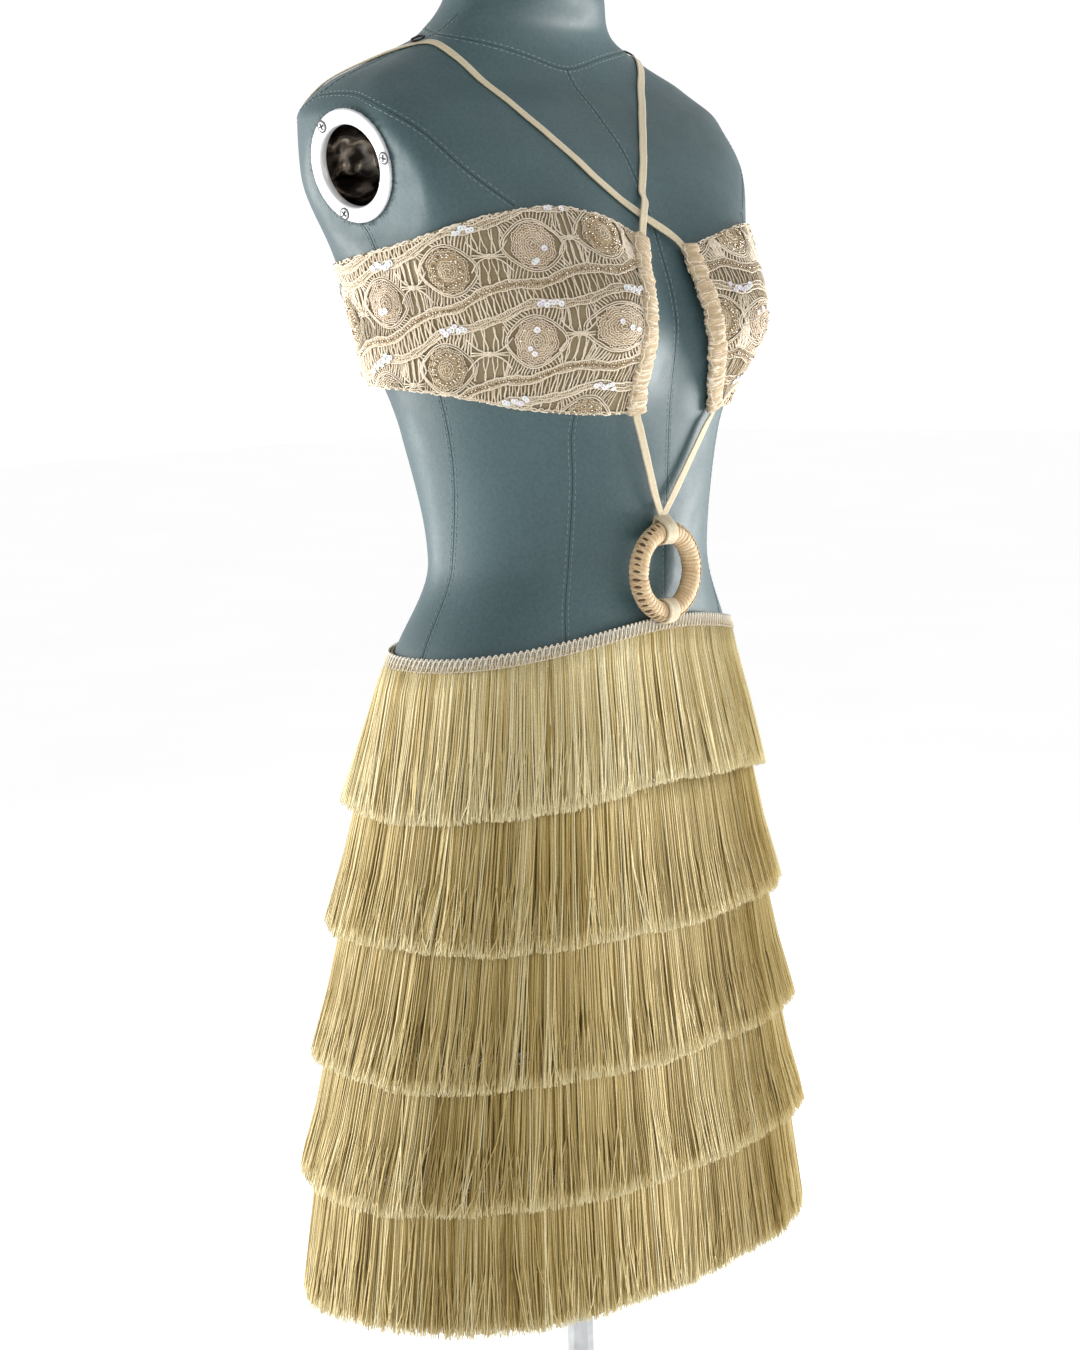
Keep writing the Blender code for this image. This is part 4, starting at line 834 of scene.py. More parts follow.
# %%
STRANDS, INNER_STRANDS = 3050, 900
STEPS = np.array([0.0, 0.18, 0.55, 0.90, 1.0])
LOCKS, LOCK_DRAW = (230, 290, 260), (0.25, 0.45, 0.65)
ROOT_DROP = 0.0055
LAST_TIER = len(TIERS) - 1
for tier, (top, length, mid_off, tip_off) in enumerate(TIERS):
    # The lowest tier has no cloth behind its ends, so it gets a close inner row of thicker strands.
    inner = INNER_STRANDS if tier == LAST_TIER else 0
    count = STRANDS + inner
    row_inner = np.arange(count) < inner
    a = np.concatenate([np.arange(inner) * FULL_TURN / max(inner, 1),
                        (np.arange(STRANDS) + rng.uniform(-0.9, 0.9, STRANDS)) * FULL_TURN / STRANDS])
    layer = np.where(row_inner, 0.0, rng.random(count))
    tops = tier_top(top, a) - ROOT_DROP
    short = np.abs(rng.normal(0, 0.0014, count)) * (1 + 1.8 * (rng.random(count) < 0.07))
    hang = length - ROOT_DROP - short
    # The first tier is a little longer in front, where the skirt's edge stands higher.
    if tier == 0:
        hang += 0.0045 * np.maximum(0, np.cos(a)) ** 2
    hang += 0.0011 * np.sin(7 * a + 2 * tier) + 0.0007 * np.sin(23 * a + tier) - 0.002 * row_inner
    # Three sets of small locks lie over each other, so that a gap in one is covered by the next. A strand is
    # pulled towards its lock's middle by a share, `draw`, and a few strands sway or stray much further.
    pull, draw, sway, lock_out, lock_tone = (np.zeros(count) for _ in range(5))
    for deep, locks in enumerate(LOCKS):
        mine = (layer * 3).astype(int) == deep
        bounds = np.sort(rng.uniform(0, FULL_TURN, locks))
        which = np.searchsorted(bounds, a[mine] % FULL_TURN) % locks
        sine, cosine = (np.bincount(which, way(a[mine]), locks) for way in (np.sin, np.cos))
        middle = np.arctan2(sine, cosine)
        pull[mine] = (middle[which] - a[mine] + math.pi) % FULL_TURN - math.pi
        draw[mine] = rng.uniform(0.05, LOCK_DRAW[deep], locks)[which]
        sway[mine] = rng.normal(0, 0.010, locks)[which]
        lock_out[mine] = rng.normal(0, 0.0005, locks)[which]
        lock_tone[mine] = rng.normal(0, 0.09, locks)[which]
    draw *= np.clip(1.4 - np.abs(pull) / 0.02, 0, 1) * (0.5 if tier == LAST_TIER else 1.0)
    sway += rng.normal(0, 0.008, count) + rng.normal(0, 0.045, count) * (rng.random(count) < 0.07)
    curl = rng.normal(0, 0.0055, count)
    stray = rng.normal(0, 0.012, count) + rng.normal(0, 0.040, count) * (rng.random(count) < 0.16)
    for each in (draw, sway, curl, lock_out, stray):
        each[row_inner] = 0
    sway += 0.010 * np.sin(3 * a + tier)
    wave = np.maximum(0.0, 0.0016 * np.sin(5 * a + tier) + 0.0010 * np.sin(11 * a + 2 * tier) + 0.0005)
    paths, normals = [], []
    for t in STEPS:
        angle = a + pull * draw * t ** 1.2 + sway * t ** 1.8 + stray * t ** 5
        angle = angle + curl * math.sin(math.pi * 1.6 * t)
        off = np.interp(t, [0, 0.08, 0.48, 1], [0.0010, 0.0016, mid_off, tip_off]) + (wave + lock_out) * t
        deep = np.interp(t, [0, 0.08, 0.48, 1], [0.0008, 0.0012, 0.0032, 0.0040])
        deep = deep + 0.0010 * max(0, t - 0.72) ** 0.5
        paths.append(skirt_points(angle, tops - hang * t, SKIRT_WALL + off + deep * layer))
        normals.append(level_out(angle))
    radii = np.interp(STEPS, [0, 0.3, 0.9, 1], [0.00056, 0.00062, 0.00056, 0.00030])
    # Each strand grows a little paler towards its end, and its tip is painted much paler: a painted highlight
    # along the tier's hem.
    tones = np.interp(STEPS, [0, 0.1, 0.5, 0.92, 1], [0.56, 0.56, 0.52, 0.62, 1.0])
    # Each strand has its own random tone and its lock's, and the first tier is lighter. Strands lying nearer
    # the skirt, the inner row most, are painted darker: painted shade between the layers of the fringe.
    tone_and_layer_shade = rng.normal(0, 0.14, count) + lock_tone - 0.24 * (1 - layer) ** 2 + (0.22 if tier == 0 else 0.0)
    stout = np.where(row_inner, 2.4, rng.uniform(0.7, 1.1, count))
    strands = Yarn(3)
    strands.add(np.stack(paths, 1), np.stack(normals, 1), radii * stout[:, None],
                np.clip(tones + tone_and_layer_shade[:, None], 0, 1), 1.0, 0.3)
    piece = strands.build("fringe_%d_strands" % (tier + 1), fringe_mat)
    finish_piece(piece, "fringe_yarn", "fringe_tier_%d" % (tier + 1))

# %% [markdown]
# The strands hang from braids. Two cords run up and down across each other along the tape, and three more run
# level along it. On the waist's braid, the only one that shows whole, the crossing cords make small scallops
# above the tape, and close upright bars lie over them.

# %%
SCALLOPS, BARS, TAPE_TONE = 100, 440, 0.42
for tier, (top, *_) in enumerate(TIERS):
    braid = Yarn(3)
    points_each = 10 if tier == 0 else 4
    a = np.arange(SCALLOPS * points_each + 1) * FULL_TURN / (SCALLOPS * points_each)
    base = tier_top(top, a)
    # Only the waist's braid shows its upper edge, so only there do the scallops stand above the tape.
    middle, reach = (-0.0043, 0.0053) if tier == 0 else (-0.0048, 0.0040)
    for phase in (0.0, math.pi):
        swing = np.sin(SCALLOPS * a + phase)
        off = SKIRT_WALL + 0.0026 + 0.0005 * np.cos(SCALLOPS * a + phase)
        cord = skirt_points(a, base + middle + reach * swing, off)
        braid.add(cord, level_out(a), 0.00066, 0.70 + 0.30 * swing)
    if tier == 0:
        bars = (np.arange(BARS) + rng.uniform(-0.12, 0.12, BARS)) * FULL_TURN / BARS
        drops = np.array([0.0012, 0.0052, 0.0092])
        heights = skirt_top(bars)[:, None] - drops
        paths = skirt_points(bars[:, None] + 0 * drops, heights, SKIRT_WALL + 0.0022)
        way_out = level_out(bars)[:, None] + np.zeros((BARS, 3, 1))
        braid.add(paths, way_out, 0.00055, 0.92 + rng.normal(0, 0.06, (BARS, 1)), 0.8)
    b = np.linspace(0, FULL_TURN, 241)
    base = tier_top(top, b)
    for drop, radius, tone in ((0.0010, 0.00055, 0.85), (0.0052, 0.00045, 0.50), (0.0090, 0.0006, 0.7)):
        braid.add(skirt_points(b, base - drop, SKIRT_WALL + 0.0021), level_out(b), radius, tone, 0.8)
    drops = np.array([[0.0006], [0.0040], [0.0072], [0.0105]])
    tape = skirt_points(b[None] + 0 * drops, base[None] - drops, SKIRT_WALL + 0.0012)
    tape = raw_mesh("tape", tape, grid_faces(4, len(b))[:, ::-1], tones=np.full(tape.size // 3, TAPE_TONE),
                    mat=braid_mat)
    name = "fringe_%d_braid" % (tier + 1)
    finish_piece(join(name, [braid.build(name, braid_mat), tape]), "fringe_yarn")


# %% [markdown]
# ## The bandeau
#
# A wing is a smooth surface, sampled on a close grid so that any number of yarn points can be laid on it at
# once. Places on it are given by the run round the body, `s`, and the rise.

# %%
class Wing:
    """One half of the bandeau as a surface; its normals point outwards."""

    STEP_DEGREES, STEP_RISE = 1.25, 0.0035

    def __init__(self, side):
        self.side = side
        self.degrees = np.arange(0.0, 181.6, self.STEP_DEGREES)
        self.rises = np.arange(0.096, 0.2781, self.STEP_RISE)
        d, r = np.meshgrid(self.degrees, self.rises)
        self.points = cup_points(side, d, r)
        across, tall = np.gradient(self.points, axis=1), np.gradient(self.points, axis=0)
        self.normals = unit(np.cross(across, tall)) * SIDE[side]
        middle = cup_points(side, self.degrees, 0.185)
        steps = np.linalg.norm(np.diff(middle, axis=0), axis=1)
        self.run = np.concatenate([[0], np.cumsum(steps)])

    def s_of(self, degrees):
        """Run from the middle of the front at an angle."""
        return np.interp(degrees, self.degrees, self.run)

    def degrees_of(self, s):
        """Angle at a run."""
        return np.interp(s, self.run, self.degrees)

    def at(self, s, rise, height=0.0):
        """Points and outward directions at runs and rises, a height above the lining's outer face."""
        d = self.degrees_of(s)
        x = np.clip((d - self.degrees[0]) / self.STEP_DEGREES, 0, len(self.degrees) - 1.001)
        y = np.clip((rise - self.rises[0]) / self.STEP_RISE, 0, len(self.rises) - 1.001)
        c, r = x.astype(int), y.astype(int)
        u, v = (x - c)[..., None], (y - r)[..., None]
        out = []
        for table in (self.points, self.normals):
            out.append((table[r, c] * (1 - u) + table[r, c + 1] * u) * (1 - v)
                       + (table[r + 1, c] * (1 - u) + table[r + 1, c + 1] * u) * v)
        normal = unit(out[1])
        return out[0] + normal * (LINING_WALL + np.asarray(height))[..., None], normal

    def inside(self, s, rise, margin=0.0008):
        """Whether places lie on the wing's cloth, at least a margin from its upper and lower edge."""
        d = self.degrees_of(s)
        start = panel_degrees(self.side, np.clip(rise, 0.112, 0.242), PANEL_START - 0.0035)
        return ((rise > BAND_LOW(d) + margin) & (rise < BAND_HIGH[self.side](d) - margin) & (d > start)
                & (d < 179.7))


def row_centre(wing, s, row):
    """Rise of the middle of a medallion row."""
    return ROW_RISE(wing.degrees_of(s)) - row * ROW_DROP


def lay(yarn, wing, s, rise, height, radius, tone, flat=1.0, margin=0.0008):
    """Lay one cord on a wing, cut where it leaves the cloth."""
    s, rise = np.broadcast_arrays(np.asarray(s, float), np.asarray(rise, float))
    ok = wing.inside(s, rise, margin)
    edges = np.flatnonzero(np.diff(np.concatenate([[0], ok.astype(int), [0]])))
    for a, b in zip(edges[::2], edges[1::2]):
        if b - a >= 2:
            p, n = wing.at(s[a:b], rise[a:b], height)
            t = tone[a:b] if np.ndim(tone) else tone
            yarn.add(p, n, radius, t, flat)


def lay_many(yarn, wing, s, rise, height, radius, tone, flat=1.0):
    """Lay many short cords of equal point count, each cut at the cloth's upper and lower edge."""
    d = wing.degrees_of(s)
    rise = np.clip(rise, BAND_LOW(d) + 0.0012, BAND_HIGH[wing.side](d) - 0.0012)
    keep = wing.inside(s, rise).all(1) & (np.ptp(rise, axis=1) > 0.0012)
    if keep.any():
        p, n = wing.at(s[keep], rise[keep], np.broadcast_to(height, s.shape)[keep])
        yarn.add(p, n, np.broadcast_to(radius, s.shape)[keep], np.broadcast_to(tone, s.shape)[keep], flat)


def wobble(s, seed, size=0.0006):
    """Slow unevenness, as handwork has."""
    return size * (np.sin(s * 310 + seed * 1.7) + 0.6 * np.sin(s * 740 + seed * 3.1))


def row_height(wing, s, row):
    """Half height of a medallion row: larger at the medallions than at the webs between."""
    centres = wing.s_of(np.array(MEDALLION_ANGLES[row], float))
    near = np.abs(s[..., None] - centres).min(-1)
    return 0.0196 + 0.0044 * ease(1 - near / 0.026)


def row_edge(wing, s, row, way):
    """Rise of a medallion row's upper edge, or of its lower edge where way is -1."""
    return row_centre(wing, s, row) + way * row_height(wing, s, row)


def uneven_turn(count):
    """Angles round a circle, each a little off its even place."""
    return (np.arange(count) + rng.uniform(-0.3, 0.3, count)) * FULL_TURN / count


def lens(t, radius):
    """Outline round a medallion that runs to a point at the webs beside it."""
    return (radius + 0.0052 * np.abs(np.cos(t)) ** 5) * np.cos(t), radius * np.sin(t)


def fill(patch, wing, s, rise, height, tone):
    """Cloth under the yarn: the faces of a grid of places whose corners all lie on the wing."""
    s, rise = np.broadcast_arrays(s, rise)
    ok = wing.inside(s, rise, 0.0004)
    p, _ = wing.at(s, rise, height + 0 * s)
    faces = grid_faces(*s.shape)
    patch.append((p.reshape(-1, 3), faces[ok.reshape(-1)[faces].all(1)], tone))


MEDALLION_TONES = {"plain": 0.88, "beaded": 0.62, "eye": 0.90}
BEADED_ROWS = ((0.0117, 26), (0.0099, 17), (0.0150, 15))
PLAIN_ROWS = ((0.0116, 9),)
RING_STEP, OPEN_RING = 0.00175, 0.0034


def rings(yarn, wing, spot, kind, seed):
    """A medallion's uneven rings, from the outside in; the beaded kind has an open ring with short bars."""
    radius = 0.0161
    while radius > 0.0012:
        if kind == "beaded" and 0.0098 < radius < 0.0125:
            count = 26
            t = uneven_turn(count)[:, None]
            across = 0.0126 - OPEN_RING * np.array([[0.0, 0.5, 1.0]])
            s, r = spot(across + 0 * t, t + rng.normal(0, 0.04, (count, 3)))
            lay_many(yarn, wing, s, r, 0.0010, 0.0005, 0.4 + rng.normal(0, 0.1, (count, 1)))
            radius -= OPEN_RING
            continue
        count = max(8, int(FULL_TURN * radius / 0.00125) // 2 * 2)
        t = np.arange(count + 1) * FULL_TURN / count + radius * 700
        weave = np.where(np.arange(count + 1) % 2 == 0, 1.0, -1.0) * 0.00042
        petals = 1 + 0.045 * np.cos(8 * t + seed) + 0.02 * np.sin(3 * t + 2 * seed)
        s, r = spot(radius * petals + weave + rng.normal(0, 0.00018, count + 1), t)
        height = 0.0013 + 0.0005 * (radius < 0.007) + rng.normal(0, 0.00012)
        tone = MEDALLION_TONES[kind] + rng.normal(0, 0.07) + 180 * weave + rng.normal(0, 0.05, count + 1)
        lay(yarn, wing, s, r, height, 0.00058, np.clip(tone, 0, 1))
        radius -= RING_STEP


def trimming(wing, spot, kind, beads, sequins):
    """Rows of beads round a medallion, and three sequins on all but the beaded kind."""
    for radius, count in BEADED_ROWS if kind == "beaded" else PLAIN_ROWS:
        t = uneven_turn(count)
        s, r = spot(radius + rng.normal(0, 0.0003, count), t)
        ok = wing.inside(s, r, 0.0012)
        beads.append(wing.at(s[ok], r[ok], 0.0021 + 0 * s[ok]))
    if kind != "beaded":
        t = rng.uniform(0, FULL_TURN, 3)
        s, r = spot(rng.uniform(0.004, 0.015, 3), t)
        ok = wing.inside(s, r, 0.002)
        sequins.append(wing.at(s[ok], r[ok], 0.0024 + 0.0004 * rng.random(ok.sum())))


def medallion(yarn, patch, wing, s0, rise0, kind, beads, sequins, seed):
    """A round medallion: cloth, two cords in a pointed outline, rings, beads and sequins."""
    wide, tall = (1.22, 0.90) if kind == "eye" else (1.0, 1.0)

    def spot(radius, t):
        return s0 + wide * radius * np.cos(t), rise0 + tall * radius * np.sin(t)

    radii = np.array([[0.0002], [0.005], [0.010], [0.0150], [0.0160]])
    crown = np.array([[0.0011], [0.0010], [0.0008], [0.0006], [0.0001]])
    fill(patch, wing, *spot(radii, np.arange(25)[None] * FULL_TURN / 24), crown, 0.16)
    t = np.arange(65) * FULL_TURN / 64
    for radius, height, tone in ((0.0190, 0.0010, 0.86), (0.0175, 0.0013, 0.72)):
        x, y = lens(t, radius)
        s, r = s0 + wide * x + rng.normal(0, 0.00010, 65), rise0 + tall * y + rng.normal(0, 0.00010, 65)
        lay(yarn, wing, s, r, height, 0.00070, tone + 0.06 * np.sin(9 * t + seed))
    rings(yarn, wing, spot, kind, seed)
    trimming(wing, spot, kind, beads, sequins)


def ladder(yarn, wing, s, low, high, lean, tone=0.70):
    """Bars between two cords; every bar wavers, leans and differs a little from the next."""
    count = len(s)
    t = np.linspace(0, 1, 5)
    curve = np.where(np.arange(count) % 2 == 0, 0.00055, -0.00035)[:, None] * np.sin(FULL_TURN * t)
    ss = (s + rng.normal(0, 0.00040, count))[:, None] + lean * (t - 0.5) + curve
    ss = ss + rng.normal(0, 0.00022, (count, 5))
    rr = low[:, None] + (high - low)[:, None] * t
    radius = 0.00074 * rng.uniform(0.8, 1.2, (count, 1))
    lay_many(yarn, wing, ss, rr, 0.0008 + 0.0005 * np.sin(t * math.pi), radius,
             tone + rng.normal(0, 0.10, (count, 1)))


def solid_band(yarn, patch, wing, s, low, high, tone, seed, beads=None):
    """Close crochet between two wavy cords: a strip of cloth with slanting stitches over it."""
    lay(yarn, wing, s, high + wobble(s, seed, 0.0004), 0.0012, 0.00078, tone + 0.16)
    lay(yarn, wing, s, low + wobble(s, seed + 2, 0.0004), 0.0012, 0.00078, tone + 0.14)
    mid = (low + high) / 2
    fill(patch, wing, s, np.stack([low, mid, high]), 0.0006, 0.22)
    fine = np.arange(s[0], s[-1], 0.0016)
    lo, hi = np.interp(fine, s, low), np.interp(fine, s, high)
    gap = hi - lo
    parts = ((0.06, 0.46), (0.54, 0.94)) if beads is None else ((0.04, 0.40), (0.60, 0.96))
    for lean, (f0, f1) in zip((-0.0012, 0.0012), parts):
        ss = np.stack([fine, fine + lean / 2, fine + lean], 1) + rng.normal(0, 0.00025, (len(fine), 3))
        rr = np.stack([lo + gap * f0, lo + gap * (f0 + f1) / 2, lo + gap * f1], 1)
        radius = 0.00062 * rng.uniform(0.85, 1.15, (len(fine), 1))
        lay_many(yarn, wing, ss, rr, np.array([0.0009, 0.0014, 0.0009]), radius,
                 tone + rng.normal(0, 0.10, (len(fine), 1)))
    if beads is None:
        lay(yarn, wing, s, mid + wobble(s, seed + 5, 0.0005), 0.0015, 0.00060, tone + 0.05)
    else:
        at = np.arange(s[0], s[-1], 0.0029)
        at = at + rng.normal(0, 0.0003, len(at))
        r = np.interp(at, s, mid) + rng.normal(0, 0.0002, len(at))
        ok = wing.inside(at, r, 0.0012) & (rng.random(len(at)) < 0.93)
        beads.append(wing.at(at[ok], r[ok], 0.0018 + 0 * at[ok]))


def web(yarn, wing, s0, rise0, half_gap, reach, seed):
    """A web between two medallions: cords cross at a knot, and slanting bars join them to the bands."""
    def spread(share):
        return 0.0105 * np.abs(share) ** 2.2

    t = np.linspace(-1, 1, 9)
    wide = half_gap + 0.0060
    for k in (-1, 1):
        lay(yarn, wing, s0 + t * wide, rise0 + k * (0.0008 + spread(t)), 0.0013, 0.00072, 0.82)
        lay(yarn, wing, s0 + t * (half_gap + 0.0030), rise0 + k * 0.0011 * t, 0.0016, 0.00066, 0.74)
    knot = np.arange(9) * math.pi / 4
    lay(yarn, wing, s0 + 0.0015 * np.cos(knot), rise0 + 0.0018 * np.sin(knot), 0.0018, 0.00075, 0.84)
    v = np.linspace(0, 1, 6)
    for way in (1, -1):
        for k, foot in enumerate(np.linspace(-0.86, 0.86, 8) + rng.uniform(-0.05, 0.05, 8)):
            start = s0 + foot * wide * 0.9
            low = 0.0012 + spread(foot * 0.9)
            slant = (0.0026 if k % 2 == seed % 2 else -0.0018) * (1.3 - abs(foot))
            bow = 0.0006 * np.sin(FULL_TURN * v) * (1 if k % 2 else -1)
            s = start + slant * v + bow + rng.normal(0, 0.00025, 6)
            radius = 0.00070 * rng.uniform(0.85, 1.15)
            lay(yarn, wing, s, rise0 + way * (low + (reach - low) * v), 0.0009, radius,
                0.76 + rng.normal(0, 0.08))


def medallion_bars(yarn, wing, s0, rise0, row):
    """Bars that radiate from a medallion to the cords above and below it."""
    for way in (1, -1):
        t = np.arange(math.radians(24), math.radians(156.1), 0.125) * way
        x, y = lens(t, 0.0192)
        s = s0 + 0.0262 * np.cos(t)
        rise = row_edge(wing, s, row, way) - way * 0.0003
        u = np.array([0.0, 0.35, 0.7, 1.0])
        ss = (s0 + x)[:, None] * (1 - u) + s[:, None] * u + rng.normal(0, 0.00035, (len(t), 4))
        rr = (rise0 + y)[:, None] * (1 - u) + rise[:, None] * u
        radius = 0.00066 * rng.uniform(0.85, 1.2, (len(t), 1))
        lay_many(yarn, wing, ss, rr, 0.0009, radius, 0.74 + rng.normal(0, 0.09, (len(t), 1)))


def crochet(side):
    """All yarn of one wing: the wing, its yarn, the filled patches, and where beads and sequins lie."""
    wing = Wing(side)
    yarn, patch, beads, sequins = Yarn(3), [], [], []
    s = np.arange(0.0, wing.run[-1], 0.0026)
    step = np.arange(0.0, wing.run[-1], 0.0030)
    for row, places in enumerate(MEDALLION_ANGLES):
        centres = wing.s_of(np.array(places, float))
        for k, s0 in enumerate(centres):
            rise0 = float(row_centre(wing, s0, row))
            seed = 3 * row + k + (side == "left")
            medallion(yarn, patch, wing, s0, rise0, MEDALLION_KINDS[row][k], beads, sequins, seed)
            medallion_bars(yarn, wing, s0, rise0, row)
        for k in range(len(centres) - 1):
            s0 = (centres[k] + centres[k + 1]) / 2
            rise0 = float(row_centre(wing, s0, row))
            reach = float(row_height(wing, np.array([s0]), row)[0])
            web(yarn, wing, s0, rise0, (centres[k + 1] - centres[k]) / 2 - 0.0240, reach, k)
        # Before the first medallion and behind the last, plain bars cross the row on both sides of a cord.
        for first, last in ((0.0, centres[0] - 0.0255), (centres[-1] + 0.0255, wing.run[-1])):
            ends = np.arange(first, last, 0.0034)
            if len(ends) > 1:
                middle, reach = row_centre(wing, ends, row), row_height(wing, ends, row)
                ladder(yarn, wing, ends, middle, middle + reach, 0.0014, 0.72)
                ladder(yarn, wing, ends, middle - reach, middle, -0.0014, 0.72)
                lay(yarn, wing, ends, middle + wobble(ends, row), 0.0014, 0.00080, 0.84)
        # A close band lies above the row and a beaded one below it.
        up, down = row_edge(wing, s, row, 1), row_edge(wing, s, row, -1)
        solid_band(yarn, patch, wing, s, up, up + UPPER_BAND, 0.66, 4 * row)
        solid_band(yarn, patch, wing, s, down - BEADED_BAND, down, 0.60, 4 * row + 1, beads)
        # A ladder joins this row's beaded band to the next row's upper band.
        if row < 2:
            next_up = row_edge(wing, step, row + 1, 1) + UPPER_BAND
            ladder(yarn, wing, step, next_up, row_edge(wing, step, row, -1) - BEADED_BAND, 0.0012)
        # Above the first row come one more ladder and one more close band.
        if row == 0:
            base = row_edge(wing, step, 0, 1) + UPPER_BAND
            ladder(yarn, wing, step, base, base + TOP_LADDER, 0.0010)
            top = up + UPPER_BAND + TOP_LADDER
            solid_band(yarn, patch, wing, s, top, top + TOP_BAND, 0.66, 17)
        # Sequins lie in short runs on the close band above the row.
        for start in np.arange(0.03 + 0.021 * row, wing.run[-1], 0.074):
            run = start + np.arange(int(rng.integers(6, 13))) * 0.0026 + rng.normal(0, 0.0006)
            r = row_edge(wing, run, row, 1) + UPPER_BAND / 2 + rng.normal(0, 0.0012, len(run))
            ok = wing.inside(run, r, 0.0022)
            sequins.append(wing.at(run[ok], r[ok], 0.0020 + 0.0004 * rng.random(ok.sum())))
    # Two cords run along each edge, weaving a little.
    for curve, sense in ((BAND_LOW, 1), (BAND_HIGH[side], -1)):
        deg = wing.degrees_of(np.arange(0.0, wing.run[-1], 0.0022))
        edge = curve(deg)
        for inset, thick_yarn, tone in ((0.0006, 0.0008, 0.84), (0.0021, 0.00068, 0.70)):
            weave = 0.0005 * np.sin(np.arange(len(deg)) * 1.9 + inset * 900) + rng.normal(0, 0.0002, len(deg))
            lay(yarn, wing, wing.s_of(deg), edge + sense * inset + weave, 0.0010, thick_yarn, tone,
                margin=0.0001)
    return wing, yarn, patch, beads, sequins


def wing_sheet(wing, columns, rows):
    """Grid of a whole wing from its casing to the back seam, on the lining's outer face."""
    t = np.linspace(0, 1, rows)[:, None]
    first = panel_degrees(wing.side, 0.112 + t * 0.124, PANEL_START)
    d = first + (179.85 - first) * np.linspace(0, 1, columns)[None]
    low, high = BAND_LOW(d), BAND_HIGH[wing.side](d)
    return wing.at(wing.s_of(d), low + (high - low) * t, 0.0 * d)[0]


bead_places, sequin_places, linings, laces = [], [], {}, {}
for side, sign in SIDE.items():
    wing, yarn, patch, beads, sequins = crochet(side)
    grid = wing_sheet(wing, 90, 26)
    lining = thick_sheet("bandeau_lining_%s_cloth" % side, grid[:, ::int(sign)], LINING_WALL, lining_mat)
    linings[side] = finish_piece(lining, "lining_cloth", "bandeau_lining_" + side)
    lace = yarn.build("crochet_%s_yarn" % side, lace_mat)
    points, faces, tones, count = [], [], [], 0
    for p, f, tone in patch:
        points.append(p)
        faces.append(f + count)
        tones.append(np.full(len(p), tone))
        count += len(p)
    filled = raw_mesh("patch", np.concatenate(points), np.concatenate(faces)[:, ::int(sign)],
                      tones=np.concatenate(tones), mat=lace_mat)
    thicken(filled, 0.0004)
    made = bake(filled)
    # Points that no patch uses are dropped.
    work = bmesh.new()
    work.from_mesh(made)
    bmesh.ops.delete(work, geom=[v for v in work.verts if not v.link_faces], context="VERTS")
    work.to_mesh(made)
    work.free()
    lace = join("crochet_%s_yarn" % side, [lace, filled])
    laces[side] = finish_piece(lace, "lace_yarn", "bandeau_lace_" + side)
    bead_places += beads
    sequin_places += sequins

# %% [markdown]
# ## Beads and sequins
#
# Geometry Nodes put one small shape on each point of a cloud. Each point carries its outward direction.


# %%
def scattered(name, places, shape, mat, scale_low, scale_high, slot):
    """A cloud of copies of a shape, turned to the cloth, made a mesh by Geometry Nodes."""
    points = np.concatenate([p for p, _ in places])
    normals = np.concatenate([n for _, n in places])
    cloud = bpy.data.meshes.new(name)
    cloud.vertices.add(len(points))
    cloud.vertices.foreach_set("co", points.astype(np.float32).ravel())
    layer = cloud.attributes.new("outward", "FLOAT_VECTOR", "POINT")
    layer.data.foreach_set("vector", normals.astype(np.float32).ravel())
    obj = bpy.data.objects.new(name, cloud)
    bpy.context.scene.collection.objects.link(obj)
    tree = bpy.data.node_groups.new(name + "_nodes", "GeometryNodeTree")
    tree.interface.new_socket("Geometry", in_out="INPUT", socket_type="NodeSocketGeometry")
    tree.interface.new_socket("Geometry", in_out="OUTPUT", socket_type="NodeSocketGeometry")
    new, link = tree.nodes.new, tree.links.new
    enter, leave = new("NodeGroupInput"), new("NodeGroupOutput")
    to_points, put = new("GeometryNodeMeshToPoints"), new("GeometryNodeInstanceOnPoints")
    link(enter.outputs[0], to_points.inputs["Mesh"])
    link(to_points.outputs["Points"], put.inputs["Points"])
    info = new("GeometryNodeObjectInfo")
    info.inputs["Object"].default_value = shape
    link(info.outputs["Geometry"], put.inputs["Instance"])
    direction = new("GeometryNodeInputNamedAttribute")
    direction.data_type = "FLOAT_VECTOR"
    direction.inputs["Name"].default_value = "outward"
    align = new("FunctionNodeAlignRotationToVector")
    align.axis = "Z"
    link(direction.outputs["Attribute"], align.inputs["Vector"])
    link(align.outputs["Rotation"], put.inputs["Rotation"])
    size = new("FunctionNodeRandomValue")
    size.data_type = "FLOAT"
    by_id = {s.identifier: s for s in size.inputs}
    by_id["Min_001"].default_value, by_id["Max_001"].default_value = scale_low, scale_high
    by_id["Seed"].default_value = 3
    link({s.identifier: s for s in size.outputs}["Value_001"], put.inputs["Scale"])
    real, paint = new("GeometryNodeRealizeInstances"), new("GeometryNodeSetMaterial")
    paint.inputs["Material"].default_value = mat
    link(put.outputs["Instances"], real.inputs["Geometry"])
    link(real.outputs["Geometry"], paint.inputs["Geometry"])
    link(paint.outputs["Geometry"], leave.inputs[0])
    obj.modifiers.new("copies", "NODES").node_group = tree
    bake(obj).shade_smooth()
    bpy.data.objects.remove(shape, do_unlink=True)
    return finish_piece(obj, slot)


# A bead is a small ball, a sequin a shallow cup with a hole.
bpy.ops.mesh.primitive_ico_sphere_add(subdivisions=1, radius=0.00092)
bead_shape = bpy.context.object
turns = np.arange(10) * FULL_TURN / 10
cup_rings = [np.stack([r * np.cos(turns), r * np.sin(turns), z + 0 * turns], -1)
             for r, z in ((0.0004, 0.0), (0.0013, 0.0001), (0.0022, 0.0006), (0.0022, 0.00048),
                          (0.0004, -0.00012))]
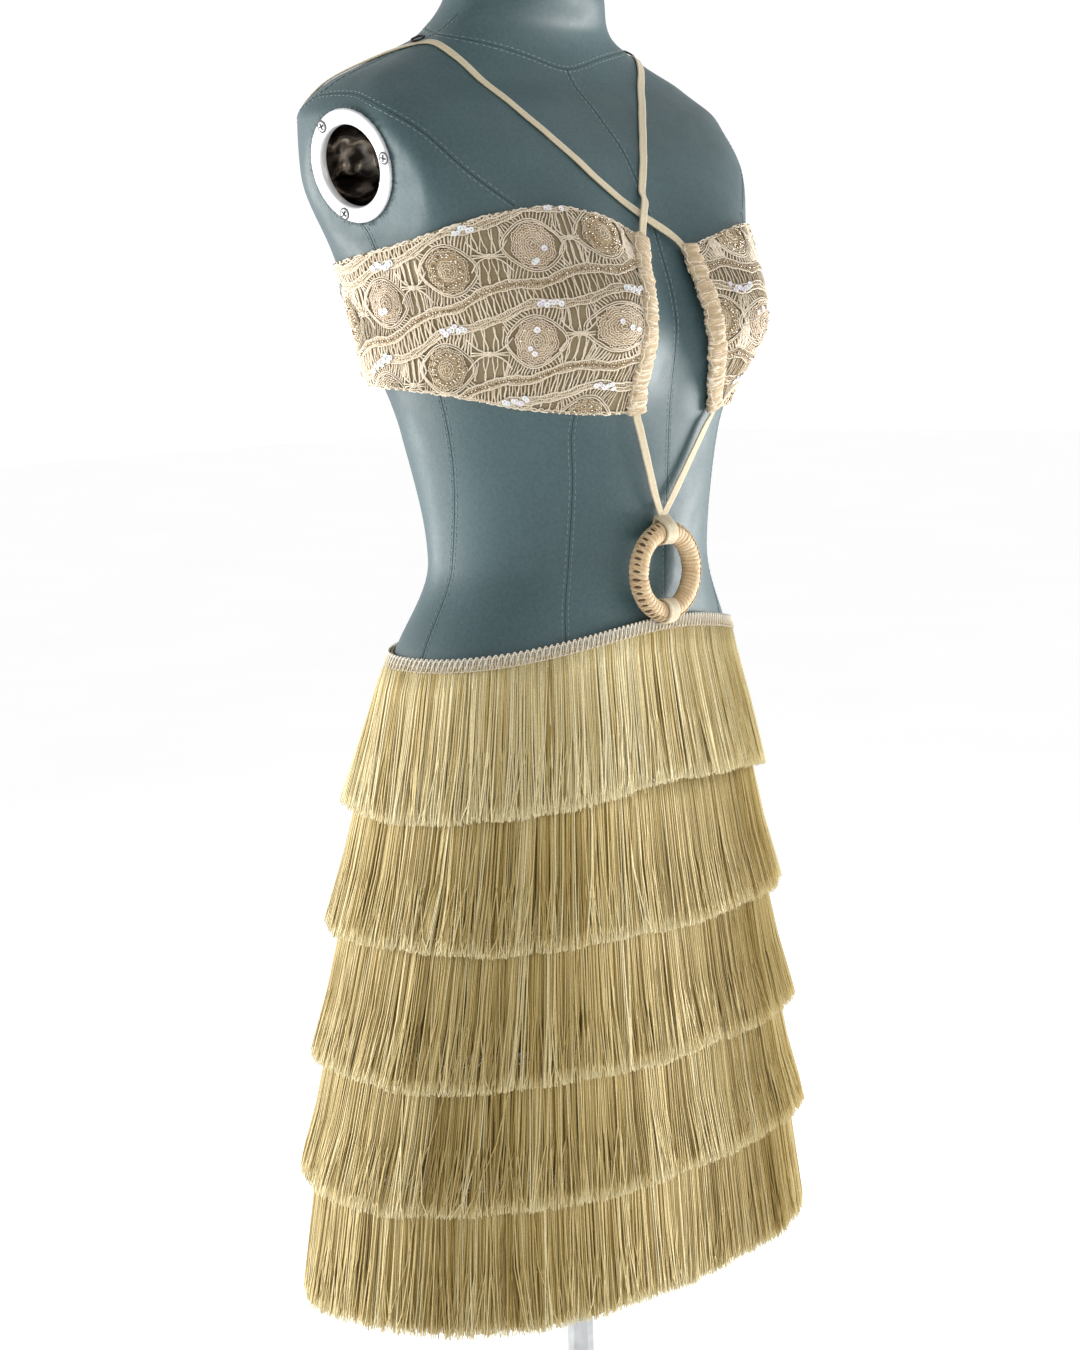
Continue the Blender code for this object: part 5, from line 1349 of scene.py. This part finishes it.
# The last strip of faces closes the hole, from the first ring to the last one, 40 points on.
hole_faces = grid_faces(2, 10, True)[:, ::-1]
hole_faces = hole_faces % 10 + np.where(hole_faces >= 10, 40, 0)
sequin_shape = raw_mesh("sequin_shape", np.concatenate(cup_rings),
                        np.concatenate([grid_faces(5, 10, True), hole_faces]))
scattered("crochet_beads", bead_places, bead_shape, bead_mat, 0.85, 1.1, "lace_yarn")
scattered("crochet_sequins", sequin_places, sequin_shape, sequin_mat, 0.85, 1.15, "lace_yarn")

# %% [markdown]
# ## Casings
#
# A casing is a gathered tube. Its section is a flat oval whose size ripples along it, and yarn runs round it.


# %%
def ring_stations(path, normals):
    """Width and outward directions along a path."""
    along = unit(np.gradient(path, axis=0))
    wide = unit(np.cross(along, normals))
    return wide, unit(np.cross(wide, along))


CASING_RINGS, CASING_SIDES = 104, 24
for side, sign in SIDE.items():
    t = np.linspace(0, 1, CASING_RINGS)
    low = float(BAND_LOW(12.0)) + 0.0005
    rise = low + t * (EDGE[side][-1][0] - 0.002 - low)
    degrees = panel_degrees(side, rise, CASING["half_wide"])
    spot = cup_points(side, degrees, rise)
    far = cup_points(side, panel_degrees(side, rise, 2 * CASING["half_wide"]), rise)
    near = cup_points(side, panel_degrees(side, rise, 0.0), rise)
    normal = unit(np.cross(far - near, np.gradient(spot, axis=0))) * sign
    path = spot + normal * (CASING["half_thick"] + 0.0002)
    wide, out = ring_stations(path, normal)
    sides = CASING_SIDES
    turn = np.arange(sides) * FULL_TURN / sides
    along = t * FULL_TURN
    gather = 0.0007 * np.sin(along * 19 + 0.8 * np.sin(t * 31)) + 0.0004 * np.sin(along * 43 + 1)
    ww = CASING["half_wide"] * 1.04 + 0.6 * gather + 0.0007 * np.sin(t * 37 + sign)
    tt = CASING["half_thick"] + 0.55 * gather
    flare = 1 + 0.10 * np.exp(-t / 0.02) + 0.10 * np.exp(-(1 - t) / 0.02)
    lumps = 0.03 * np.sin(5 * turn + 29 * t[:, None]) + 0.03 * np.sin(3 * turn - 61 * t[:, None])

    def oval(scale):
        cosine, sine = np.cos(turn)[None, :, None], np.sin(turn)[None, :, None]
        swell = (flare * scale)[:, None, None] * (1 + lumps[..., None])
        blunt = cosine * (np.abs(cosine) + 0.001) ** -0.25
        return (path[:, None] + wide[:, None] * blunt * ww[:, None, None] * swell
                + out[:, None] * sine * tt[:, None, None] * swell)

    tube = oval(1.0)
    casing = raw_mesh("casing_%s_cloth" % side, tube, grid_faces(len(t), sides, True),
                      tones=np.full(tube.size // 3, 0.28), mat=lace_mat)
    thicken(casing, 0.0008)
    finish_piece(casing, "lace_yarn", "casing_" + side)
    wraps = Yarn(3)
    surface = oval(1.04)
    loops = np.concatenate([surface, surface], 1)
    outward = unit(loops - path[:, None])
    drift = unit(np.gradient(path, axis=0))
    # Short stitches run part of the way round, in rows, and slack cords wander along the tube.
    for k in range(1, len(t) - 1):
        for _ in range(3):
            first = int(rng.integers(0, sides))
            span = int(rng.integers(4, 9))
            at = np.arange(first, first + span)
            lean = drift[k] * (rng.uniform(-0.0012, 0.0012) * np.linspace(-1, 1, span))[:, None]
            lift = outward[k, at] * (0.0006 * np.sin(np.linspace(0, math.pi, span)))[:, None]
            radius = 0.00085 * rng.uniform(0.8, 1.2)
            wraps.add(loops[k, at] + lean + lift, outward[k, at], radius, 0.66 + rng.normal(0, 0.16))
    rows = np.arange(len(t))
    for start in np.linspace(0, sides, 5, endpoint=False):
        cord = (start + 0.9 * np.sin(rows * 0.31 + start) + 0.5 * np.sin(rows * 0.83 + 2 * start)) % sides
        low_column = cord.astype(int)
        part = (cord - low_column)[:, None]
        p = loops[rows, low_column] * (1 - part) + loops[rows, low_column + 1] * part
        m = outward[rows, low_column]
        wraps.add(p + m * 0.0005, m, 0.00060, 0.78 + 0.08 * np.sin(rows * 0.5 + start))
    # Two cords bind each end.
    for at in (1, 2, -2, -3):
        wraps.add(loops[at, :sides + 1], outward[at, :sides + 1], 0.0008, 0.82)
    finish_piece(wraps.build("casing_%s_yarn" % side, lace_mat), "lace_yarn")

# %% [markdown]
# ## Straps
#
# A strap follows the stations of its plain solid: its rings of four corners are walked from one end to the
# other, then a rounded section is drawn through them.


# %%
def walk_stations(node):
    """Corner rings of a plain four-sided strip, in order from one end to the other."""
    work = bmesh.new()
    work.from_mesh(NODES[node].data)
    bmesh.ops.remove_doubles(work, verts=work.verts, dist=0.00001)
    work.verts.index_update()
    # An end cap is a small flat place of four corners, which edges join to only four others.
    ring = None
    for first in work.verts:
        for edge in first.link_edges:
            second = edge.other_vert(first)
            faces = [f for f in edge.link_faces if first in f.verts and second in f.verts]
            if len(faces) != 2 or faces[0].normal.dot(faces[1].normal) < 0.9999:
                continue
            corners = {v for f in faces for v in f.verts}
            area = sum(f.calc_area() for f in faces)
            beyond = {e.other_vert(v) for v in corners for e in v.link_edges} - corners
            if area < 0.000013 and len(beyond) == 4:
                others = sorted(corners - {first, second}, key=lambda v: v.index)
                ring = [first, others[0], second, others[1]]
                break
        if ring:
            break
    rings, seen = [ring], set(ring)
    while True:
        ahead = {e.other_vert(v) for v in rings[-1] for e in v.link_edges} - seen
        ahead = sorted(ahead, key=lambda v: v.index)
        if len(ahead) != 4:
            break
        rings.append(list(min(itertools.permutations(ahead),
                              key=lambda order: sum((v.co - w.co).length for v, w in zip(order, rings[-1])))))
        seen.update(ahead)
    corners = np.array([[list(v.co) for v in ring] for ring in rings])
    work.free()
    return corners


STRAP_SHAPE = [(-1.0, -0.3), (-0.94, -0.9), (-0.7, -1.0), (0.7, -1.0), (0.94, -0.9), (1.0, -0.3), (1.0, 0.3),
               (0.94, 0.9), (0.7, 1.0), (0.35, 0.86), (-0.35, 0.86), (-0.7, 1.0), (-0.94, 0.9), (-1.0, 0.3)]
# Tones of the section's corners; the lower half, which ends up towards the skin, is painted darker: a painted
# shade under the tape.
STRAP_TONES_SHADED_UNDER = [0.35, 0.4, 0.45, 0.45, 0.4, 0.35, 0.5, 0.75, 0.7, 0.55, 0.55, 0.7, 0.75, 0.5]
skin_tree = BVHTree.FromObject(form, bpy.context.evaluated_depsgraph_get())
for name in ("strap_right_cup", "strap_left_cup"):
    corners = walk_stations(name)
    # The corners are turned so that the first two lie across the strap, and the hoop's end comes first.
    if np.linalg.norm(corners[0, 0] - corners[0, 1]) < np.linalg.norm(corners[0, 1] - corners[0, 2]):
        corners = np.roll(corners, 1, axis=1)
    if corners[0, 0, 2] > corners[-1, 0, 2]:
        corners = corners[::-1]
    # The straps are drawn tight where they cross on the chest and down the back, so their line is eased there.
    _, y, z = corners.mean(1)[1:-1].T
    taut = (((z > 1.225) & (z < 1.305) & (y < -0.05)) | (y > 0))[:, None, None]
    for _ in range(4):
        corners[1:-1] = np.where(taut, (corners[:-2] + 2 * corners[1:-1] + corners[2:]) / 4, corners[1:-1])
    # The lower end runs on into the loop above the hoop, gathered narrower.
    end, half = corners[0].mean(0), corners[0] - corners[0].mean(0)
    tip = HUB + np.array([0.002, 0.0028, HOOP["radius"] + HOOP["tube"] + 0.0040])
    corners = np.concatenate([[tip + half * 0.75], [(tip + end) / 2 + half * 0.85], corners[1:]])
    smooth = smooth_line(corners.reshape(len(corners), -1), 0.0025).reshape(-1, 4, 3)
    centre = smooth.mean(1)
    wide = (smooth[:, 0] - smooth[:, 1] + smooth[:, 3] - smooth[:, 2]) / 4
    tall = (smooth[:, 0] - smooth[:, 3] + smooth[:, 1] - smooth[:, 2]) / 4
    # The tones are darker on one face, a painted shade under the tape, and that face is turned towards the
    # skin.
    outward = np.array([list(skin_tree.find_nearest(Vector(p))[1]) for p in centre])
    if (tall * outward).sum() < 0:
        wide, tall = -wide, -tall
    # Over the shoulder and down the back the strap is laid close on the form's skin.
    for k, p in enumerate(centre):
        rise = p[2] - WAIST_Z
        share = float(max(ease((rise - 0.330) / 0.02), ease(p[1] / 0.02)) * ease((rise - 0.245) / 0.012))
        if share > 0:
            spot, normal, _, _ = skin_tree.find_nearest(Vector(p))
            height = 0.0005 + np.linalg.norm(tall[k])
            centre[k] = p * (1 - share) + np.array(spot + normal * height) * share
    scale = 0.86 + 0.02 * np.sin(np.arange(len(centre)) * 0.7)[:, None]
    ring = np.stack([centre + wide * a * scale + tall * b for a, b in STRAP_SHAPE], 1)
    sides = len(STRAP_SHAPE)
    first_end = list(range(sides))
    last_end = [(len(centre) - 1) * sides + k for k in first_end]
    mesh = bpy.data.meshes.new(name)
    faces = grid_faces(len(centre), sides, True).tolist() + [first_end[::-1], last_end]
    mesh.from_pydata(ring.reshape(-1, 3).tolist(), [], faces)
    layer = mesh.attributes.new("tone", "FLOAT", "POINT")
    layer.data.foreach_set("value", np.tile(STRAP_TONES_SHADED_UNDER, len(centre)).astype(np.float32))
    strap = bpy.data.objects.new(name + "_tape", mesh)
    bpy.context.scene.collection.objects.link(strap)
    face_out(mesh)
    mesh.materials.append(strap_mat)
    mesh.shade_smooth()
    mesh.set_sharp_from_angle(angle=math.radians(60))
    finish_piece(strap, "strap_cloth", name)

# %% [markdown]
# ## The wrapped hoop
#
# About fifty turns of yarn lie side by side round a ring, with painted shade in the grooves between them. On
# its outer front the turns part in a row of gaps, each holding a short dark tube of painted shade, and two
# short cords cross between each gap and the next.

# %%
TURNS, GAPS = 54, 42


def hoop_ray(around):
    """Directions from the hoop's centre in its plane."""
    return np.stack([np.cos(around), 0 * around, np.sin(around)], -1)


def on_hoop(around, across, lift=0.0):
    """Points on the hoop: around is the angle in its plane, across the angle round its tube."""
    off = HOOP["tube"] + lift
    return (HUB + hoop_ray(around) * (HOOP["radius"] + off * np.cos(across))[..., None]
            + np.array([0, -1, 0]) * (off * np.sin(across))[..., None])


phi = np.arange(TURNS * 9) * FULL_TURN / (TURNS * 9)
theta = np.arange(24) * FULL_TURN / 24
grid_phi, grid_theta = np.meshgrid(phi, theta, indexing="ij")
phase = (grid_phi + 0.006 * np.sin(3 * grid_phi) + 0.03 * np.cos(grid_theta)) * TURNS / 2
ridge = np.abs(np.sin(phase)) ** 0.45
turn_of = (phase / math.pi).astype(int) % TURNS
waver = rng.normal(0, 0.00014, TURNS)[turn_of]
wound = on_hoop(grid_phi, grid_theta, waver - 0.0007 * (1 - ridge))
# The grooves between turns are painted darker than their crowns, a painted shade, and each turn has its own
# random tone.
shade = 0.42 + 0.30 * ridge + rng.normal(0, 0.07, TURNS)[turn_of]
faces = grid_faces(len(phi), 24, True)
last = (len(phi) - 1) * 24
around = np.arange(24)
joint = np.stack([last + around, last + (around + 1) % 24, (around + 1) % 24, around], -1)
hoop = raw_mesh("hoop_wrapping", wound.reshape(-1, 3), np.concatenate([faces, joint])[:, ::-1],
                tones=np.clip(shade, 0, 1), mat=hoop_mat)
finish_piece(hoop, "hoop_wrap", "hoop_ring")
gap_shade_and_cords = Yarn(6)
for k in range(GAPS):
    at = FULL_TURN * (k + 0.5 + rng.uniform(-0.12, 0.12)) / GAPS
    # The loops cover the gaps at the top and the bottom.
    if abs(at - math.pi / 2) < 0.26 or abs(at - 1.5 * math.pi) < 0.20:
        continue
    t = np.linspace(-1, 1, 6)
    along = at + 0.012 * t + rng.normal(0, 0.004)
    across = 0.46 + 0.42 * rng.uniform(0.8, 1.1) * t
    radius = 0.0010 * np.sqrt(np.maximum(1 - t * t, 0.04))[None]
    # A short dark tube lies in each gap: painted shade where the turns part.
    gap_shade_and_cords.add(on_hoop(along, across, 0.0001), hoop_ray(along), radius, 0.02, 0.5)
    step = math.pi / GAPS
    for lean in (1, -1):
        turn_at = at + step + lean * step * 0.62 * t
        place = on_hoop(turn_at, 0.46 + 0.46 * t, 0.0004)
        gap_shade_and_cords.add(place, hoop_ray(turn_at), 0.00062, 0.70 + 0.08 * lean, 0.8)
finish_piece(gap_shade_and_cords.build("hoop_stitches", hoop_mat), "hoop_wrap")

# %% [markdown]
# The two loops that hold the hoop are narrow strips bent round it. Each is drawn as a ring of sections whose
# last one is the tip, where the strip's two ends meet.

# %%
LOOPS = {
    "hoop_loop_top": {
        "way": 1, "tip_wide": 0.0085, "wide": 0.0062, "tip": (0.002, 0.0035, 0.0052), "bend": 140},
    "hoop_loop_bottom": {
        "way": -1, "tip_wide": 0.0058, "wide": 0.0058, "tip": (0, 0.0050, 0.0025), "bend": 162},
}
BENDS = 41
for name, size in LOOPS.items():
    way, (tip_x, tip_y, reach) = size["way"], size["tip"]
    top = HUB + np.array([0, 0, way * HOOP["radius"]])
    tip = top + np.array([tip_x, tip_y, way * (HOOP["tube"] + reach)])
    t = np.radians(np.linspace(-size["bend"], size["bend"], BENDS))
    spoke = np.stack([0 * t, -np.sin(t), -way * np.cos(t)], -1)
    inside = top + spoke * (HOOP["tube"] + 0.0008)
    outside = top + spoke * (HOOP["tube"] + 0.0021)
    inside = np.concatenate([inside, [tip - [0, 0, way * 0.0016]]])
    outside = np.concatenate([outside, [tip]])
    wides = np.append(np.full(BENDS, size["wide"]), size["tip_wide"])
    cols = np.linspace(-1, 1, 9)
    rows = []
    for a, b, w, k in zip(inside, outside, wides, range(BENDS + 1)):
        off = cols * w
        sag = -way * (HOOP["radius"] - np.sqrt(HOOP["radius"] ** 2 - off ** 2)) * (k < BENDS)
        crown = 0.0004 * (1 - cols ** 4)
        low = a + np.stack([off, 0 * off, sag], -1)
        high = b + np.stack([off * 0.97, 0 * off, sag], -1) + (b - a) / 0.0013 * crown[:, None] * 0.5
        rows.append(np.concatenate([low, high[::-1]]))
    ring = np.array(rows)
    count = ring.shape[1]
    around = np.arange(count)
    beside = (around + 1) % count
    last = BENDS * count
    joint = np.stack([last + around, last + beside, beside, around], -1)
    rib = 0.10 * np.sin(np.arange(BENDS + 1) * 0.9)[:, None] + 0.10 * np.sin(around * 1.3)[None]
    loop = raw_mesh(name + "_strip", ring, np.concatenate([grid_faces(BENDS + 1, count, True), joint]),
                    tones=0.62 + rib, mat=strap_mat)
    face_out(loop.data)
    finish_piece(loop, "strap_cloth", name)

# %% [markdown]
# ## Sliders and the stand
#
# The stand and the wire sliders keep their model shape and only get a material.

# %%
for name in ("stand_base", "stand_pole", "slider_right_strap", "slider_left_strap"):
    NODES[name].data.materials.clear()
    NODES[name].data.materials.append(stand_mat if name.startswith("stand") else dark_mat)

# %% [markdown]

# %% [markdown]
# ## Floor, light and camera

# %%
n = speckled("floor_paint", 0.9, 1.5, [(0.3, "FAFAFA"), (0.7, "FDFDFD")])
n.shader.inputs["Emission Color"].default_value = (1, 1, 1, 1)
n.shader.inputs["Emission Strength"].default_value = 0.3
bpy.ops.mesh.primitive_plane_add(size=40)
floor = bpy.context.object
floor.name = "floor"
floor.data.materials.append(n.mat)

world = bpy.data.worlds.new("studio")
bpy.context.scene.world = world
world.use_nodes = True
tree = world.node_tree
way = tree.nodes.new("ShaderNodeTexCoord").outputs["Generated"]


def falloff(direction, near, far, low):
    """White, sinking to a grey level where the sky's direction points along the given one."""
    dot = tree.nodes.new("ShaderNodeVectorMath")
    dot.operation = "DOT_PRODUCT"
    dot.inputs[1].default_value = direction
    tree.links.new(way, dot.inputs[0])
    span = tree.nodes.new("ShaderNodeMapRange")
    span.interpolation_type = "SMOOTHSTEP"
    for socket, value in (("From Min", near), ("From Max", far), ("To Min", 1.0), ("To Max", low)):
        span.inputs[socket].default_value = value
    tree.links.new(dot.outputs["Value"], span.inputs["Value"])
    return span.outputs["Result"]


# The studio is white all round, darker overhead and on the camera's side.
both = tree.nodes.new("ShaderNodeMath")
both.operation = "MULTIPLY"
tree.links.new(falloff((0, 0, 1), 0.25, 0.85, 0.60), both.inputs[0])
tree.links.new(falloff((-0.72, -0.69, 0), 0.10, 0.90, 0.62), both.inputs[1])
tree.links.new(both.outputs[0], tree.nodes["Background"].inputs["Color"])
tree.nodes["Background"].inputs["Strength"].default_value = 1.04


def softbox(name, place, target, size, power):
    """An area light of a width and height in metres that looks at a target; its power is in watts."""
    light = bpy.data.lights.new(name, "AREA")
    light.shape, light.size, light.size_y, light.energy = "RECTANGLE", size[0], size[1], power
    obj = bpy.data.objects.new(name, light)
    bpy.context.scene.collection.objects.link(obj)
    obj.location = place
    obj.rotation_euler = (Vector(target) - Vector(place)).to_track_quat("-Z", "Y").to_euler()


softbox("key", (-0.9, -2.8, 2.4), (0, 0, 1.1), (2.6, 2.6), 12)
softbox("left_edge", (-1.3, 2.1, 0.85), (0, 0, 0.9), (1.0, 1.2), 64)
softbox("right_edge", (2.1, -1.0, 0.45), (0, 0, 0.75), (1.0, 0.7), 56)

# The camera stands on the wearer's right, and is turned, tilted down and rolled a little, as in the photo.
ANGLE, AWAY, CAMERA_Z = math.radians(46.48), 1.9945, 1.2195
yaw, pitch, roll = math.radians(0.39), math.radians(8.01), math.radians(-2.10)
camera_data = bpy.data.cameras.new("camera")
camera_data.lens, camera_data.sensor_width = 66.4, 36
camera = bpy.data.objects.new("camera", camera_data)
bpy.context.scene.collection.objects.link(camera)
bpy.context.scene.camera = camera
ahead = Vector((math.sin(ANGLE - yaw), math.cos(ANGLE - yaw), 0))
right = Vector((ahead.y, -ahead.x, 0))
up = Vector((0, 0, 1))
looking = ahead * math.cos(pitch) - up * math.sin(pitch)
above = up * math.cos(pitch) + ahead * math.sin(pitch)
right_rolled = right * math.cos(roll) + above * math.sin(roll)
above_rolled = above * math.cos(roll) - right * math.sin(roll)
camera.matrix_world = Matrix((right_rolled, above_rolled, -looking)).transposed().to_4x4()
camera.location = (-math.sin(ANGLE) * AWAY, -math.cos(ANGLE) * AWAY, CAMERA_Z)
bpy.context.scene.view_settings.view_transform = "Standard"
